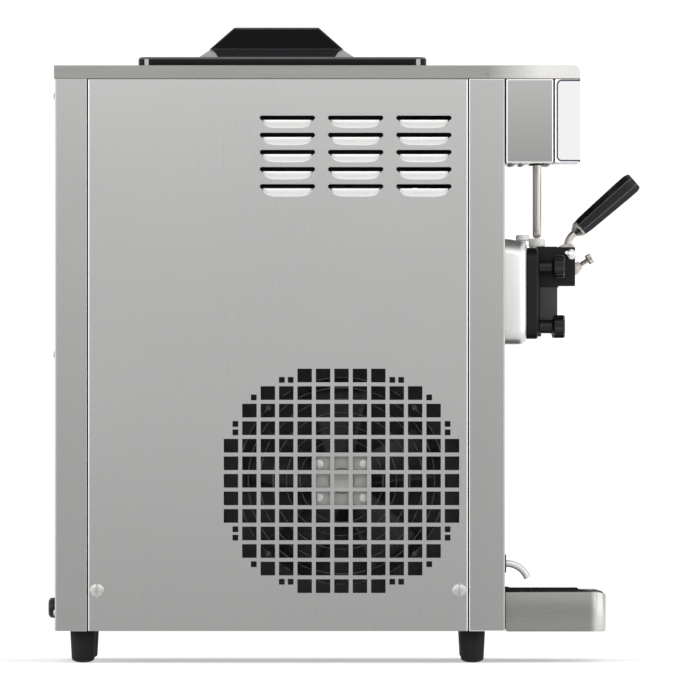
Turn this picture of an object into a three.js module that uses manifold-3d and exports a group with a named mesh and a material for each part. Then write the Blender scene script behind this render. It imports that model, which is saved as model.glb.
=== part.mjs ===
// Countertop soft-serve ice cream machine: two mix hoppers, two freezing cylinders and a dispensing
// head with three levers (left flavour, twist of both, right flavour).
//
// Millimetres. The machine faces -Y and +Z is up. The origin is on the counter, under the middle
// of the machine. Left and right are as seen by a person standing in front of it.

import * as THREE from 'three';
import { mergeVertices } from 'three/addons/utils/BufferGeometryUtils.js';
import Module from 'manifold-3d';

const wasm = await Module();
wasm.setup();

// ---------------------------------------------------------------- driving dimensions

const sheet = 1.5; // thickness of the steel panels
const gap = 0.3; // clearance between pieces that touch
const seam = 1.0; // open joint between neighbouring outside panels
const cut = 1; // how far a cutting tool runs past the face it leaves by

const cabinet = { halfWidth: 270, front: -192.5, rear: 349, bottom: 38, top: 701 };
const wrap = { front: 43.3, rear: 39.2 }; // how far the end panels turn round onto the sides
const cover = { top: 717, overhang: 91, noseRadius: 9 };
const housing = { bottom: 600, back: 2.4, front: 58.6 };
const display = { back: 60.6, front: 90.5, halfWidth: 150, bottom: 618, top: 684 };

const flavours = [
  { name: 'left', x: -80 },
  { name: 'centre', x: 0 },
  { name: 'right', x: 80 },
];
const barrels = [flavours[0], flavours[2]];
const tanks = [
  { name: 'left', x: -110, outletX: -80 },
  { name: 'right', x: 110, outletX: 80 },
];

const hopper = { width: 178, length: 312, corner: 20, floor: 560, rim: 7, outletY: -40, outletRadius: 8 };
const lid = { width: 208, length: 346.4, middleY: 74.7, top: 727.6, corner: 18, wall: 2.5, lift: 3 };
const lidHandle = {
  top: 763.8,
  waist: 737.5,
  footLength: 188,
  topLength: 102.8,
  footWidth: 52,
  waistWidth: 70,
  topWidth: 44,
  wall: 3,
};

const louvre = { length: 66.5, slot: 5.4, scoop: 9.6, scoopLength: 58, depth: 7 };
const louvrePitch = { y: 81.9, z: 20.57 };
const louvreBlock = { columns: 3, rows: 5, frontColumn: -97.3, topRow: 654 };
const panelScrew = { radius: 8.7, height: 2, slot: 1.6, z: 87, behindFront: [54.8, 489.8] };
const coverScrew = { radius: 3.5, height: 1, behindFront: 21, z: 709 };
const rearVent = { rows: 8, lowest: 130, pitch: 24, length: 120, height: 7 };
const fan = { behindFront: 196.2, z: 218.4, radius: 116, hubRadius: 20 };
const grille = { cellY: 22.1, cellZ: 21.06, holeY: 17.4, holeZ: 16.4, small: 6.9, smallPitch: 10.6 };
const grilleRow = [5, 9, 11, 11, 13, 13, 13, 13, 13, 11, 11, 9, 5]; // square holes in each row

const barrel = { z: 445, radius: 52, bore: 46, mouth: 27, back: -290, endWall: 6, shaftHole: 9 };
const shroud = { halfWidth: 178, bottom: 382, top: 508.6, back: 0.6, front: 27, corner: 18, wall: 2 };
const stud = { x: 152, upperZ: 475.8, lowerZ: 403.6, radius: 3.5, tip: 68.5 };
const head = {
  flangeBack: 27.6,
  flangeFront: 40,
  flangeBottom: 388.7,
  flangeTop: 498.4,
  flangeHalfWidth: 170,
  halfWidth: 130,
  bodyFront: 63.8,
  bodyBottom: 398,
  bodyTop: 500,
  boxFront: 85.2,
  boxBottom: 452.6,
  slotWidth: 11,
};
const valve = { ahead: 40, radius: 8.5, bottom: 404, capRadius: 9.35, capBottom: 500.4, capTop: 509.5 };
const feed = { z: 418, radius: 6 };
const nozzle = { bottom: 395.5, ringRadius: 11.8, starOuter: 8.4, starInner: 5.6, starTop: 401, points: 6 };
const pivot = { ahead: 79.9, z: 490.6, rodRadius: 4 };
const lever = { width: 9, armLength: 39.9, armDrop: 17.5, tipRadius: 4.5, hubRadius: 7, stemRadius: 3 };
const grip = { tilt: 41.2, startAhead: 11.8, startUp: 31.8, length: 86.85 };
const pushRod = { radius: 4.75, bottom: 510.4, top: 640, collarRadius: 8, collarHeight: 6 };
const screwBoss = { back: 84.8, topAhead: 85.4, topZ: 482.4, lowAhead: 92.8, lowZ: 470.4, bottom: 466.8 };
const screw = { tilt: 31.7, rootAhead: 89.1, rootZ: 476.4, radius: 2.6, stem: 14 };
const screwHead = { radius: 5, length: 5 };
const knob = { hubStart: 41.4, hubRadius: 8.2, wheelStart: 59, wheelEnd: 73, radius: 12.9, lobe: 0.9 };
const plug = { ahead: 22.6, bottom: 499, capBottom: 507.6, capTop: 514.2, capRadius: 7.7, stemRadius: 3.4 };

const tray = { back: 1, front: 121.7, halfWidth: 215, bottom: 37, top: 85, corner: 16, noseDrop: 3.5 };
const rack = { flatFront: 90, frontEdge: 114, thickness: 1.5, slotLength: 34, slotWidth: 24, pitch: 40 };
const spout = { x: -120, z: 118.2, flangeRadius: 11.1, radius: 4, bore: 2.6, bend: 27, sweep: 70 };
const foot = { behindFront: 39.2, aheadOfRear: 34.9, inset: 40, topRadius: 15.5, bottomRadius: 14 };
const gland = { x: -205, z: 65.6, radius: 12.2, reach: 7, neck: 8, bore: 4.6 };

// ---------------------------------------------------------------- finishes

const finishes = {
  panelSteel: { color: 0xb4b3b0, roughness: 0.38, metalness: 0.9 },
  coverSteel: { color: 0xa5a49f, roughness: 0.34, metalness: 0.9 },
  polishedSteel: { color: 0xc9c8c4, roughness: 0.18, metalness: 1.0 },
  galvanised: { color: 0x9a9c9c, roughness: 0.55, metalness: 0.8 },
  castAlloy: { color: 0x8f9190, roughness: 0.5, metalness: 0.8 },
  blackPlastic: { color: 0x1c1c1e, roughness: 0.4, metalness: 0.0 },
  headPlastic: { color: 0x303032, roughness: 0.5, metalness: 0.0 },
  whitePlastic: { color: 0xecebe7, roughness: 0.45, metalness: 0.0 },
  displayGlass: { color: 0x14171c, roughness: 0.12, metalness: 0.0 },
  rubber: { color: 0x202020, roughness: 0.85, metalness: 0.0 },
  blackEnamel: { color: 0x18181a, roughness: 0.35, metalness: 0.3 },
};

// ---------------------------------------------------------------- solid modelling helpers

// Y of a point that lies a distance ahead of the cabinet's front face.
const ahead = (distance) => cabinet.front - distance;
const radians = THREE.MathUtils.degToRad;

// A closed three.js geometry as a solid that can be cut and joined.
function solid(geometry) {
  geometry.deleteAttribute('normal');
  geometry.deleteAttribute('uv');
  const merged = mergeVertices(geometry, 1e-4);
  const index = merged.index.array;
  const triangles = [];
  for (let i = 0; i < index.length; i += 3) {
    const [a, b, c] = index.slice(i, i + 3);
    if (a !== b && b !== c && c !== a) triangles.push(a, b, c);
  }
  const vertProperties = new Float32Array(merged.attributes.position.array);
  const triVerts = new Uint32Array(triangles);
  return new wasm.Manifold(new wasm.Mesh({ numProp: 3, vertProperties, triVerts }));
}

function geometryOf(body) {
  const { vertProperties, triVerts } = body.getMesh();
  const geometry = new THREE.BufferGeometry();
  geometry.setAttribute('position', new THREE.BufferAttribute(vertProperties, 3));
  geometry.setIndex(new THREE.BufferAttribute(triVerts, 1));
  geometry.computeVertexNormals();
  return geometry;
}

function part(name, body, finish) {
  const mesh = new THREE.Mesh(geometryOf(body), new THREE.MeshStandardMaterial(finishes[finish]));
  mesh.name = name;
  return mesh;
}

function block([x0, x1], [y0, y1], [z0, z1]) {
  const geometry = new THREE.BoxGeometry(x1 - x0, y1 - y0, z1 - z0);
  geometry.translate((x0 + x1) / 2, (y0 + y1) / 2, (z0 + z1) / 2);
  return solid(geometry);
}

// Turns a geometry made round its own Y axis so that the axis points along x, y or z.
function aim(geometry, axis) {
  if (axis === 'x') geometry.rotateZ(-Math.PI / 2);
  if (axis === 'z') geometry.rotateX(Math.PI / 2);
  return geometry;
}

// A round bar along an axis, between two places on it, through a point given by its centre.
function bar(radius, axis, [from, to], centre, sides = 16) {
  const geometry = new THREE.CylinderGeometry(radius, radius, to - from, sides);
  geometry.translate(0, (from + to) / 2, 0);
  aim(geometry, axis);
  geometry.translate(...centre);
  return solid(geometry);
}

// A profile of [radius, distance along the axis] pairs turned round Y, going up the outside.
function lathe(profile, sides) {
  const points = profile.map(([radius, along]) => new THREE.Vector2(radius, along));
  return new THREE.LatheGeometry(points, sides);
}

function turned(profile, axis, sides = 20) {
  return solid(aim(lathe(profile, sides), axis));
}

// An outline pushed along an axis. It is drawn in (y, z) for x, in (x, z) for y and in (x, y) for z.
function pushed(shape, axis, [from, to], curveSegments = 2) {
  const depth = to - from;
  const geometry = new THREE.ExtrudeGeometry(shape, { depth, bevelEnabled: false, curveSegments });
  geometry.translate(0, 0, axis === 'y' ? -to : from);
  if (axis === 'x') geometry.rotateX(Math.PI / 2).rotateZ(Math.PI / 2);
  if (axis === 'y') geometry.rotateX(Math.PI / 2);
  return solid(geometry);
}

function outline(points) {
  return new THREE.Shape(points.map(([u, v]) => new THREE.Vector2(u, v)));
}

// A regular polygon that stands for a circle.
function circleOutline(radius, sides) {
  const points = [];
  for (let i = 0; i < sides; i += 1) {
    const angle = (i * 2 * Math.PI) / sides;
    points.push([radius * Math.cos(angle), radius * Math.sin(angle)]);
  }
  return outline(points);
}

// A side-view outline given as [distance ahead of the cabinet, height] pairs.
function sideOutline(points) {
  return outline(points.map(([distance, z]) => [ahead(distance), z]));
}

function roundedRectangle([u0, u1], [v0, v1], radius, path = new THREE.Shape()) {
  path.moveTo(u0 + radius, v0);
  path.lineTo(u1 - radius, v0);
  path.absarc(u1 - radius, v0 + radius, radius, -Math.PI / 2, 0);
  path.lineTo(u1, v1 - radius);
  path.absarc(u1 - radius, v1 - radius, radius, 0, Math.PI / 2);
  path.lineTo(u0 + radius, v1);
  path.absarc(u0 + radius, v1 - radius, radius, Math.PI / 2, Math.PI);
  path.lineTo(u0, v0 + radius);
  path.absarc(u0 + radius, v0 + radius, radius, Math.PI, Math.PI * 1.5);
  return path;
}

// A slot with round ends that runs along u.
function slotShape(u, v, length, height) {
  const reach = (length - height) / 2;
  const shape = new THREE.Shape();
  shape.absarc(u + reach, v, height / 2, -Math.PI / 2, Math.PI / 2);
  shape.absarc(u - reach, v, height / 2, Math.PI / 2, Math.PI * 1.5);
  return shape;
}

const joined = (bodies) => bodies.reduce((whole, next) => whole.add(next));
const cutBy = (body, tools) => tools.reduce((rest, tool) => rest.subtract(tool), body);
const bothSides = (make) => [-1, 1].map(make);

// ---------------------------------------------------------------- cabinet

const panelTop = cabinet.top - gap;
const inner = cabinet.halfWidth - sheet;
const foldDepth = 9; // how far the folded edges of the side panels reach inwards
const panTop = cabinet.bottom + 14;

function basePan() {
  const half = inner - gap;
  const depth = [cabinet.front + sheet + gap, cabinet.rear - sheet - gap];
  const floor = cabinet.bottom + gap;
  const outside = block([-half, half], depth, [floor, panTop]);
  const hollow = [depth[0] + sheet, depth[1] - sheet];
  const inside = block([-half + sheet, half - sheet], hollow, [floor + sheet, panTop + cut]);
  const bolts = footPlaces().map(([x, y]) => bar(4.6, 'z', [floor - cut, floor + 4], [x, y, 0], 12));
  return part('base_pan', cutBy(outside, [inside, ...bolts]), 'galvanised');
}

// A front or rear panel whose two edges are folded back along the cabinet's sides.
function wrappedPanel(face, inward, depth) {
  const span = (a, b) => [Math.min(a, b), Math.max(a, b)];
  const height = [cabinet.bottom, panelTop];
  const across = block([-cabinet.halfWidth, cabinet.halfWidth], span(face, face + inward * sheet), height);
  const folds = bothSides((side) => {
    const width = span(side * inner, side * cabinet.halfWidth);
    return block(width, span(face, face + inward * depth), height);
  });
  return joined([across, ...folds]);
}

function frontPanel() {
  const through = [cabinet.front - cut, cabinet.front + sheet + cut];
  const mouths = barrels.map(({ x }) => bar(barrel.radius + 2.5, 'y', through, [x, 0, barrel.z], 24));
  const drain = bar(spout.radius + 1, 'y', through, [spout.x, 0, spout.z], 16);
  const body = wrappedPanel(cabinet.front, 1, wrap.front);
  return part('front_panel', cutBy(body, [...mouths, drain]), 'panelSteel');
}

function rearPanel() {
  const through = [cabinet.rear - sheet - cut, cabinet.rear + cut];
  const vents = [];
  for (const x of [-85, 85]) {
    for (let row = 0; row < rearVent.rows; row += 1) {
      const slot = slotShape(x, rearVent.lowest + row * rearVent.pitch, rearVent.length, rearVent.height);
      vents.push(pushed(slot, 'y', through, 1));
    }
  }
  const cordHole = bar(gland.neck + 0.6, 'y', through, [gland.x, 0, gland.z], 20);
  const body = wrappedPanel(cabinet.rear, -1, wrap.rear);
  return part('rear_panel', cutBy(body, [...vents, cordHole]), 'panelSteel');
}

// A pressed louvre on the left side: the strip under the slot leans inwards, so air enters over it.
function louvreScoop(y, slotBottom) {
  const outer = -cabinet.halfWidth;
  const foot = slotBottom - louvre.scoop;
  const lip = slotBottom + 0.2;
  const leanOut = [
    [outer + 0.5, foot - sheet],
    [outer + louvre.depth + sheet, slotBottom],
    [outer + 0.5, slotBottom],
  ];
  const leanIn = [
    [outer - cut, foot],
    [outer, foot],
    [outer + louvre.depth, lip],
    [outer - cut, lip],
  ];
  const along = (length) => [y - length / 2, y + length / 2];
  return {
    add: pushed(outline(leanOut), 'y', along(louvre.scoopLength + 2.4)),
    remove: pushed(outline(leanIn), 'y', along(louvre.scoopLength)),
  };
}

function louvrePlaces(rows, topRow) {
  const places = [];
  for (let column = 0; column < louvreBlock.columns; column += 1) {
    for (let row = 0; row < rows; row += 1) {
      const y = ahead(louvreBlock.frontColumn - column * louvrePitch.y);
      places.push([y, topRow - row * louvrePitch.z]);
    }
  }
  return places;
}

// Centres of the large and small square holes that together make the round fan grille.
function grilleHoles() {
  const middle = (grilleRow.length - 1) / 2;
  const large = [];
  grilleRow.forEach((count, row) => {
    for (let i = 0; i < count; i += 1) {
      large.push([i - (count - 1) / 2, row - middle]);
    }
  });
  const step = grille.smallPitch / grille.cellY;
  const corner = (grille.holeY - grille.small) / 2;
  const small = [];
  for (const side of [-1, 1]) {
    for (const end of [-1, 1]) {
      const lean = (end * corner) / grille.cellZ;
      small.push([side * (3 - step / 2), end * 6 - lean], [side * (3 + step / 2), end * 6 - lean]);
      small.push([side * 5 - (side * corner) / grille.cellY, end * 5 - lean]);
      small.push([side * 6 - (side * corner) / grille.cellY, end * (3 - step / 2)]);
      small.push([side * 6 - (side * corner) / grille.cellY, end * (3 + step / 2)]);
    }
  }
  return { large, small };
}

// The round slotted heads of the screws that hold a side panel along its bottom.
function panelScrews() {
  const { radius, height, slot, z, behindFront } = panelScrew;
  const across = [-cabinet.halfWidth - height, -cabinet.halfWidth + 0.5];
  return behindFront.map((behind) => {
    const y = ahead(-behind);
    const long = [z - radius - cut, z + radius + cut];
    const groove = block([across[0] - cut, across[0] + 1], [y - slot / 2, y + slot / 2], long);
    return bar(radius, 'x', across, [0, y, z], 20).subtract(groove);
  });
}

// A flat side panel with folded vertical edges, made for the left side.
function sidePanel(places, scooped, holes) {
  const ends = [cabinet.front + wrap.front + seam, cabinet.rear - wrap.rear - seam];
  const middleY = ahead(-fan.behindFront);
  const through = [-cabinet.halfWidth - cut, -inner + cut];
  const flat = block([-cabinet.halfWidth, -inner], ends, [cabinet.bottom, panelTop]);
  const slots = places.map(([y, z]) => pushed(slotShape(y, z, louvre.length, louvre.slot), 'x', through, 1));
  const squares = (list, width, height) =>
    list.map(([u, v]) => {
      const y = middleY + u * grille.cellY;
      const z = fan.z + v * grille.cellZ;
      return block(through, [y - width / 2, y + width / 2], [z - height / 2, z + height / 2]);
    });
  const large = squares(holes.large, grille.holeY, grille.holeZ);
  const small = squares(holes.small, grille.small, grille.small);
  const folds = [[ends[0], ends[0] + sheet], [ends[1] - sheet, ends[1]]].map((edge) =>
    block([-inner - gap, -inner + foldDepth], edge, [panTop + cut, panelTop])
  );
  const scoops = scooped.map(([y, z]) => louvreScoop(y, z - louvre.slot / 2));
  const body = joined([flat, ...folds, ...panelScrews(), ...scoops.map((scoop) => scoop.add)]);
  return cutBy(body, [...slots, ...large, ...small, ...scoops.map((scoop) => scoop.remove)]);
}

function leftSidePanel() {
  const places = louvrePlaces(louvreBlock.rows, louvreBlock.topRow);
  return part('left_side_panel', sidePanel(places, places, grilleHoles()), 'panelSteel');
}

// The right side lets the air out: the same louvres above, and a block of plain slots below.
function rightSidePanel() {
  const upper = louvrePlaces(louvreBlock.rows, louvreBlock.topRow);
  const lower = louvrePlaces(louvreBlock.rows, fan.z + 2 * louvrePitch.z);
  const body = sidePanel([...upper, ...lower], upper, { large: [], small: [] });
  return part('right_side_panel', body.mirror([1, 0, 0]), 'panelSteel');
}

function coverProfile(inset) {
  const front = ahead(cover.overhang) + inset;
  const radius = cover.noseRadius - inset;
  const top = cover.top - inset;
  const shape = new THREE.Shape();
  shape.moveTo(cabinet.rear - inset, cabinet.top - (inset > 0 ? cut : 0));
  shape.lineTo(cabinet.rear - inset, top);
  shape.lineTo(front + radius, top);
  shape.absarc(front + radius, top - radius, radius, Math.PI / 2, Math.PI);
  shape.lineTo(front, cabinet.top - (inset > 0 ? cut : 0));
  return shape;
}

function topCover() {
  const outside = pushed(coverProfile(0), 'x', [-cabinet.halfWidth, cabinet.halfWidth]);
  const inside = pushed(coverProfile(sheet), 'x', [-inner, inner]);
  const openings = tanks.map(({ x }) => {
    const across = [x - hopper.width / 2 - 2, x + hopper.width / 2 + 2];
    const along = [lid.middleY - hopper.length / 2 - 2, lid.middleY + hopper.length / 2 + 2];
    const shape = roundedRectangle(across, along, hopper.corner + 2);
    return pushed(shape, 'z', [cover.top - sheet - cut, cover.top + cut]);
  });
  const skirt = bothSides((side) => {
    const span = [side * (cabinet.halfWidth + coverScrew.height), side * (inner + gap)];
    const head = [Math.min(...span), Math.max(...span)];
    return bar(coverScrew.radius, 'x', head, [0, ahead(-coverScrew.behindFront), coverScrew.z], 12);
  });
  return part('top_cover', joined([cutBy(outside, [inside, ...openings]), ...skirt]), 'coverSteel');
}

function frontHousing() {
  const depth = [ahead(housing.front), ahead(housing.back)];
  const height = [housing.bottom, panelTop];
  const outside = block([-cabinet.halfWidth, cabinet.halfWidth], depth, height);
  const hollow = [depth[0] + sheet, depth[1] + cut];
  const inside = block([-inner, inner], hollow, [height[0] + sheet, height[1] + cut]);
  const rods = flavours.map(({ x }) => {
    const through = [housing.bottom - cut, housing.bottom + sheet + cut];
    return bar(pushRod.radius + 1, 'z', through, [x, ahead(valve.ahead), 0], 16);
  });
  return part('front_housing', cutBy(outside, [inside, ...rods]), 'panelSteel');
}

// The white moulding over the electronics. It is open at the back and has a window in front.
function displayCover() {
  const wall = 2.5;
  const half = cabinet.halfWidth;
  const depth = [ahead(display.front), ahead(display.back)];
  const height = [housing.bottom + gap, panelTop];
  const plan = roundedRectangle([-half, half], [depth[0], depth[1] + 6], 6);
  const hollow = roundedRectangle([-half + wall, half - wall], [depth[0] + wall, depth[1] + 9], 4);
  const outside = pushed(plan, 'z', height).intersect(block([-half, half], depth, height));
  const inside = pushed(hollow, 'z', [height[0] + wall, height[1] - wall]);
  const across = [-display.halfWidth - gap, display.halfWidth + gap];
  const window = block(across, [depth[0] - cut, depth[0] + 1.4], [display.bottom - gap, display.top + gap]);
  const wiring = block([-100, 100], [depth[0], depth[0] + 9], [display.bottom + 12, display.top - 12]);
  return part('display_cover', cutBy(outside, [inside, window, wiring]), 'whitePlastic');
}

function displayPanel() {
  const front = ahead(cover.overhang);
  const shape = roundedRectangle([-display.halfWidth, display.halfWidth], [display.bottom, display.top], 5);
  return part('display_panel', pushed(shape, 'y', [front, front + 1.5]), 'displayGlass');
}

// ---------------------------------------------------------------- mix hoppers and lids

function hopperTank(tank) {
  const tub = (grow, height) => {
    const across = [-hopper.width / 2 - grow, hopper.width / 2 + grow];
    const along = [-hopper.length / 2 - grow, hopper.length / 2 + grow];
    return pushed(roundedRectangle(across, along, hopper.corner + grow), 'z', height);
  };
  const rimBottom = cover.top + gap;
  const spigotPlace = [tank.outletX - tank.x, hopper.outletY - lid.middleY, 0];
  const spigotBottom = barrel.z + barrel.radius + gap;
  const outside = joined([
    tub(0, [hopper.floor, rimBottom + 1]),
    tub(hopper.rim, [rimBottom, rimBottom + 1.2]),
    bar(hopper.outletRadius, 'z', [spigotBottom, hopper.floor + 0.5], spigotPlace),
  ]);
  const inside = tub(-sheet, [hopper.floor + sheet, rimBottom + 1.2 + cut]);
  const outlet = bar(hopper.outletRadius - 2, 'z', [spigotBottom - cut, hopper.floor + 4], spigotPlace);
  const mesh = part(`hopper_${tank.name}`, cutBy(outside, [inside, outlet]), 'polishedSteel');
  mesh.position.set(tank.x, lid.middleY, 0);
  return mesh;
}

// The grip on a lid: a long block with sloping ends, whose flanks lean out to a waist and back in.
function gripBlock(shrink, base) {
  const top = lidHandle.top - shrink;
  const slope = (lidHandle.footLength - lidHandle.topLength) / 2 / (lidHandle.top - lid.top);
  const halfTop = lidHandle.topLength / 2 - shrink;
  const halfBase = halfTop + slope * (top - base);
  const lengthwise = outline([[-halfBase, base], [halfBase, base], [halfTop, top], [-halfTop, top]]);
  const [footHalf, waistHalf, topHalf] = [lidHandle.footWidth, lidHandle.waistWidth, lidHandle.topWidth].map(
    (width) => width / 2 - shrink
  );
  const crosswise = outline([
    [-footHalf, base],
    [footHalf, base],
    [waistHalf, lidHandle.waist],
    [topHalf, top],
    [-topHalf, top],
    [-waistHalf, lidHandle.waist],
  ]);
  const wide = pushed(lengthwise, 'x', [-lidHandle.waistWidth, lidHandle.waistWidth]);
  return wide.intersect(pushed(crosswise, 'y', [-lidHandle.footLength, lidHandle.footLength]));
}

function hopperLid(tank) {
  const plate = (shrink, height) => {
    const across = [-lid.width / 2 + shrink, lid.width / 2 - shrink];
    const along = [-lid.length / 2 + shrink, lid.length / 2 - shrink];
    return pushed(roundedRectangle(across, along, lid.corner - shrink), 'z', height);
  };
  const bottom = cover.top + gap;
  const chamfer = 2;
  const outside = joined([
    plate(0, [bottom, lid.top - chamfer]),
    plate(chamfer, [bottom, lid.top]),
    gripBlock(0, lid.top - 0.5),
  ]);
  const underside = plate(lid.wall, [bottom - cut, bottom + lid.lift]);
  const hollowGrip = gripBlock(lidHandle.wall, bottom);
  const mesh = part(`lid_${tank.name}`, cutBy(outside, [underside, hollowGrip]), 'blackPlastic');
  mesh.position.set(tank.x, lid.middleY, 0);
  return mesh;
}

// ---------------------------------------------------------------- freezing cylinders and drives

function freezingCylinder(place) {
  const { radius, bore, endWall, shaftHole } = barrel;
  const front = ahead(barrel.mouth);
  const back = ahead(barrel.back);
  const tube = turned(
    [
      [bore, front],
      [radius, front],
      [radius, back],
      [shaftHole, back],
      [shaftHole, back - endWall],
      [bore, back - endWall],
      [bore, front],
    ],
    'y',
    24
  );
  const inlet = bar(hopper.outletRadius - 1, 'z', [20, radius + cut], [0, hopper.outletY, 0], 12);
  const mesh = part(`cylinder_${place.name}`, tube.subtract(inlet), 'polishedSteel');
  mesh.position.set(place.x, 0, barrel.z);
  return mesh;
}

// A beater: paddles across the cylinder, each turned a little from the last, on a driven shaft.
function beater(place) {
  const front = ahead(barrel.mouth) + 10;
  const back = ahead(barrel.back) - barrel.endWall - 8;
  const half = barrel.bore - 1.5;
  const count = 6;
  const length = (back - front) / count;
  const paddles = [];
  for (let i = 0; i < count; i += 1) {
    const geometry = new THREE.BoxGeometry(half * 2, length + 1, 5);
    geometry.rotateY(radians(i * 30));
    geometry.translate(0, front + (i + 0.5) * length, 0);
    paddles.push(solid(geometry));
  }
  const shaft = bar(8, 'y', [back - 3, ahead(barrel.back) + 26], [0, 0, 0], 8);
  const mesh = part(`beater_${place.name}`, joined([...paddles, shaft]), 'whitePlastic');
  mesh.position.set(place.x, 0, barrel.z);
  return mesh;
}

const gearboxDepth = [ahead(barrel.back) + 8, ahead(barrel.back) + 74];

function gearbox(place) {
  const half = 46;
  const shape = roundedRectangle([-half, half], [-half, half], 10);
  const flange = roundedRectangle([-half - 6, half + 6], [-half - 6, half + 6], 14);
  const socket = [gearboxDepth[0] - cut, gearboxDepth[0] + 30];
  const bolts = [45, 135, 225, 315].map((angle) => {
    const centre = [59 * Math.cos(radians(angle)), 0, 59 * Math.sin(radians(angle))];
    return bar(3.5, 'y', [gearboxDepth[0] - 3, gearboxDepth[0] + 4], centre, 6);
  });
  const body = joined([
    pushed(shape, 'y', gearboxDepth),
    pushed(flange, 'y', [gearboxDepth[0], gearboxDepth[0] + 8]),
    ...bolts,
  ]);
  const bore = bar(barrel.shaftHole, 'y', socket, [0, 0, 0]);
  const mesh = part(`gearbox_${place.name}`, body.subtract(bore), 'castAlloy');
  mesh.position.set(place.x, 0, barrel.z);
  return mesh;
}

function driveMotor(place) {
  const start = gearboxDepth[1] + gap;
  const length = 140;
  const can = turned(
    [
      [0, start],
      [46, start],
      [46, start + 6],
      [52, start + 10],
      [52, start + length - 22],
      [48, start + length - 16],
      [48, start + length - 6],
      [42, start + length],
      [0, start + length],
    ],
    'y'
  );
  const terminalBox = block([-26, 26], [start + 30, start + 92], [40, 70]);
  const mesh = part(`drive_motor_${place.name}`, can.add(terminalBox), 'blackEnamel');
  mesh.position.set(place.x, 0, barrel.z);
  return mesh;
}

// The deck inside the cabinet that carries the cylinders and the drives on shaped saddles.
function shelf() {
  const level = 384;
  const half = inner - foldDepth - gap;
  const depth = [cabinet.front + sheet + gap, cabinet.rear - sheet - gap];
  const deck = block([-half, half], depth, [level, level + 2]);
  const lips = bothSides((side) => {
    const edge = [side * half, side * (half - 2)].sort((a, b) => a - b);
    return block(edge, depth, [level - 20, level + 1]);
  });
  const saddles = barrels.flatMap(({ x }) =>
    [-150, 60, 250].map((y) => block([x - 36, x + 36], [y - 8, y + 8], [level + 1, level + 30]))
  );
  const tubes = barrels.map(({ x }) =>
    bar(barrel.radius + 1, 'y', [cabinet.front, cabinet.rear], [x, 0, barrel.z], 24)
  );
  return part('shelf', cutBy(joined([deck, ...lips, ...saddles]), tubes), 'galvanised');
}

// ---------------------------------------------------------------- refrigeration

function compressor() {
  const bottom = cabinet.bottom + gap + sheet + gap;
  const shell = turned(
    [
      [0, 14],
      [64, 14],
      [78, 34],
      [78, 92],
      [81, 94],
      [81, 102],
      [78, 104],
      [77, 158],
      [62, 182],
      [0, 194],
    ],
    'z'
  );
  const plate = pushed(roundedRectangle([-92, 92], [-72, 72], 16), 'z', [11, 16]);
  const mounts = [-78, 78].flatMap((x) => [-58, 58].map((y) => bar(11, 'z', [0, 12], [x, y, 0], 10)));
  const pipes = [
    bar(5, 'z', [150, 222], [40, 20, 0], 8),
    bar(4, 'z', [150, 214], [-38, -26, 0], 8),
  ];
  const terminals = block([-24, 24], [-88, -60], [90, 140]);
  const mesh = part('compressor', joined([shell, plate, ...mounts, ...pipes, terminals]), 'blackEnamel');
  mesh.position.set(120, 215, bottom);
  return mesh;
}

const fanY = ahead(-fan.behindFront);

// The coil and, ahead of it, the square shroud that closes round the fan.
function condenser() {
  const bottom = cabinet.bottom + gap + sheet + gap;
  const half = 140;
  const side = [fanY - half, fanY + half];
  const coil = block([-150, -96], side, [60, 358]);
  const shell = block([-186, -149], side, [bottom, fan.z + half]);
  const opening = bar(fan.radius + 10, 'x', [-187, -150], [0, fanY, fan.z], 32);
  const legs = [side[0], side[1] - 14].map((y) => block([-150, -96], [y, y + 14], [bottom, 61]));
  return part('condenser', joined([coil, shell, ...legs]).subtract(opening), 'galvanised');
}

function fanGuard() {
  const face = -260;
  const wire = 1.3;
  const ring = (radius) =>
    turned(
      [
        [radius - wire, -wire],
        [radius + wire, -wire],
        [radius + wire, wire],
        [radius - wire, wire],
        [radius - wire, -wire],
      ],
      'x',
      20
    );
  const rings = [64, 124].map(ring);
  const spokes = [0, 45, 90, 135].map((angle) => {
    const geometry = new THREE.BoxGeometry(wire * 2, wire * 2, 252);
    geometry.rotateX(radians(angle));
    return solid(geometry);
  });
  const standOffs = [45, 135, 225, 315].map((angle) => {
    const centre = [0, 124 * Math.sin(radians(angle)), 124 * Math.cos(radians(angle))];
    return bar(3, 'x', [0, -186 - gap - face], centre, 6);
  });
  const mesh = part('fan_guard', joined([...rings, ...spokes, ...standOffs]), 'blackEnamel');
  mesh.position.set(face, fanY, fan.z);
  return mesh;
}

function fanMotor() {
  const body = turned(
    [
      [0, 3],
      [27, 3],
      [34, 8],
      [34, 34],
      [29, 40],
      [4, 40],
      [4, 62],
      [0, 62],
    ],
    'x'
  );
  const bracket = pushed(roundedRectangle([-36, 36], [-30, 30], 9), 'x', [0, 3.5], 1);
  const bolts = [-27, 27].flatMap((y) => [-20, 20].map((z) => bar(3.6, 'x', [-1.2, 9], [0, y, z], 6)));
  const mesh = part('fan_motor', joined([body, bracket, ...bolts]), 'castAlloy');
  mesh.position.set(-257, fanY, fan.z);
  return mesh;
}

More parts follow.
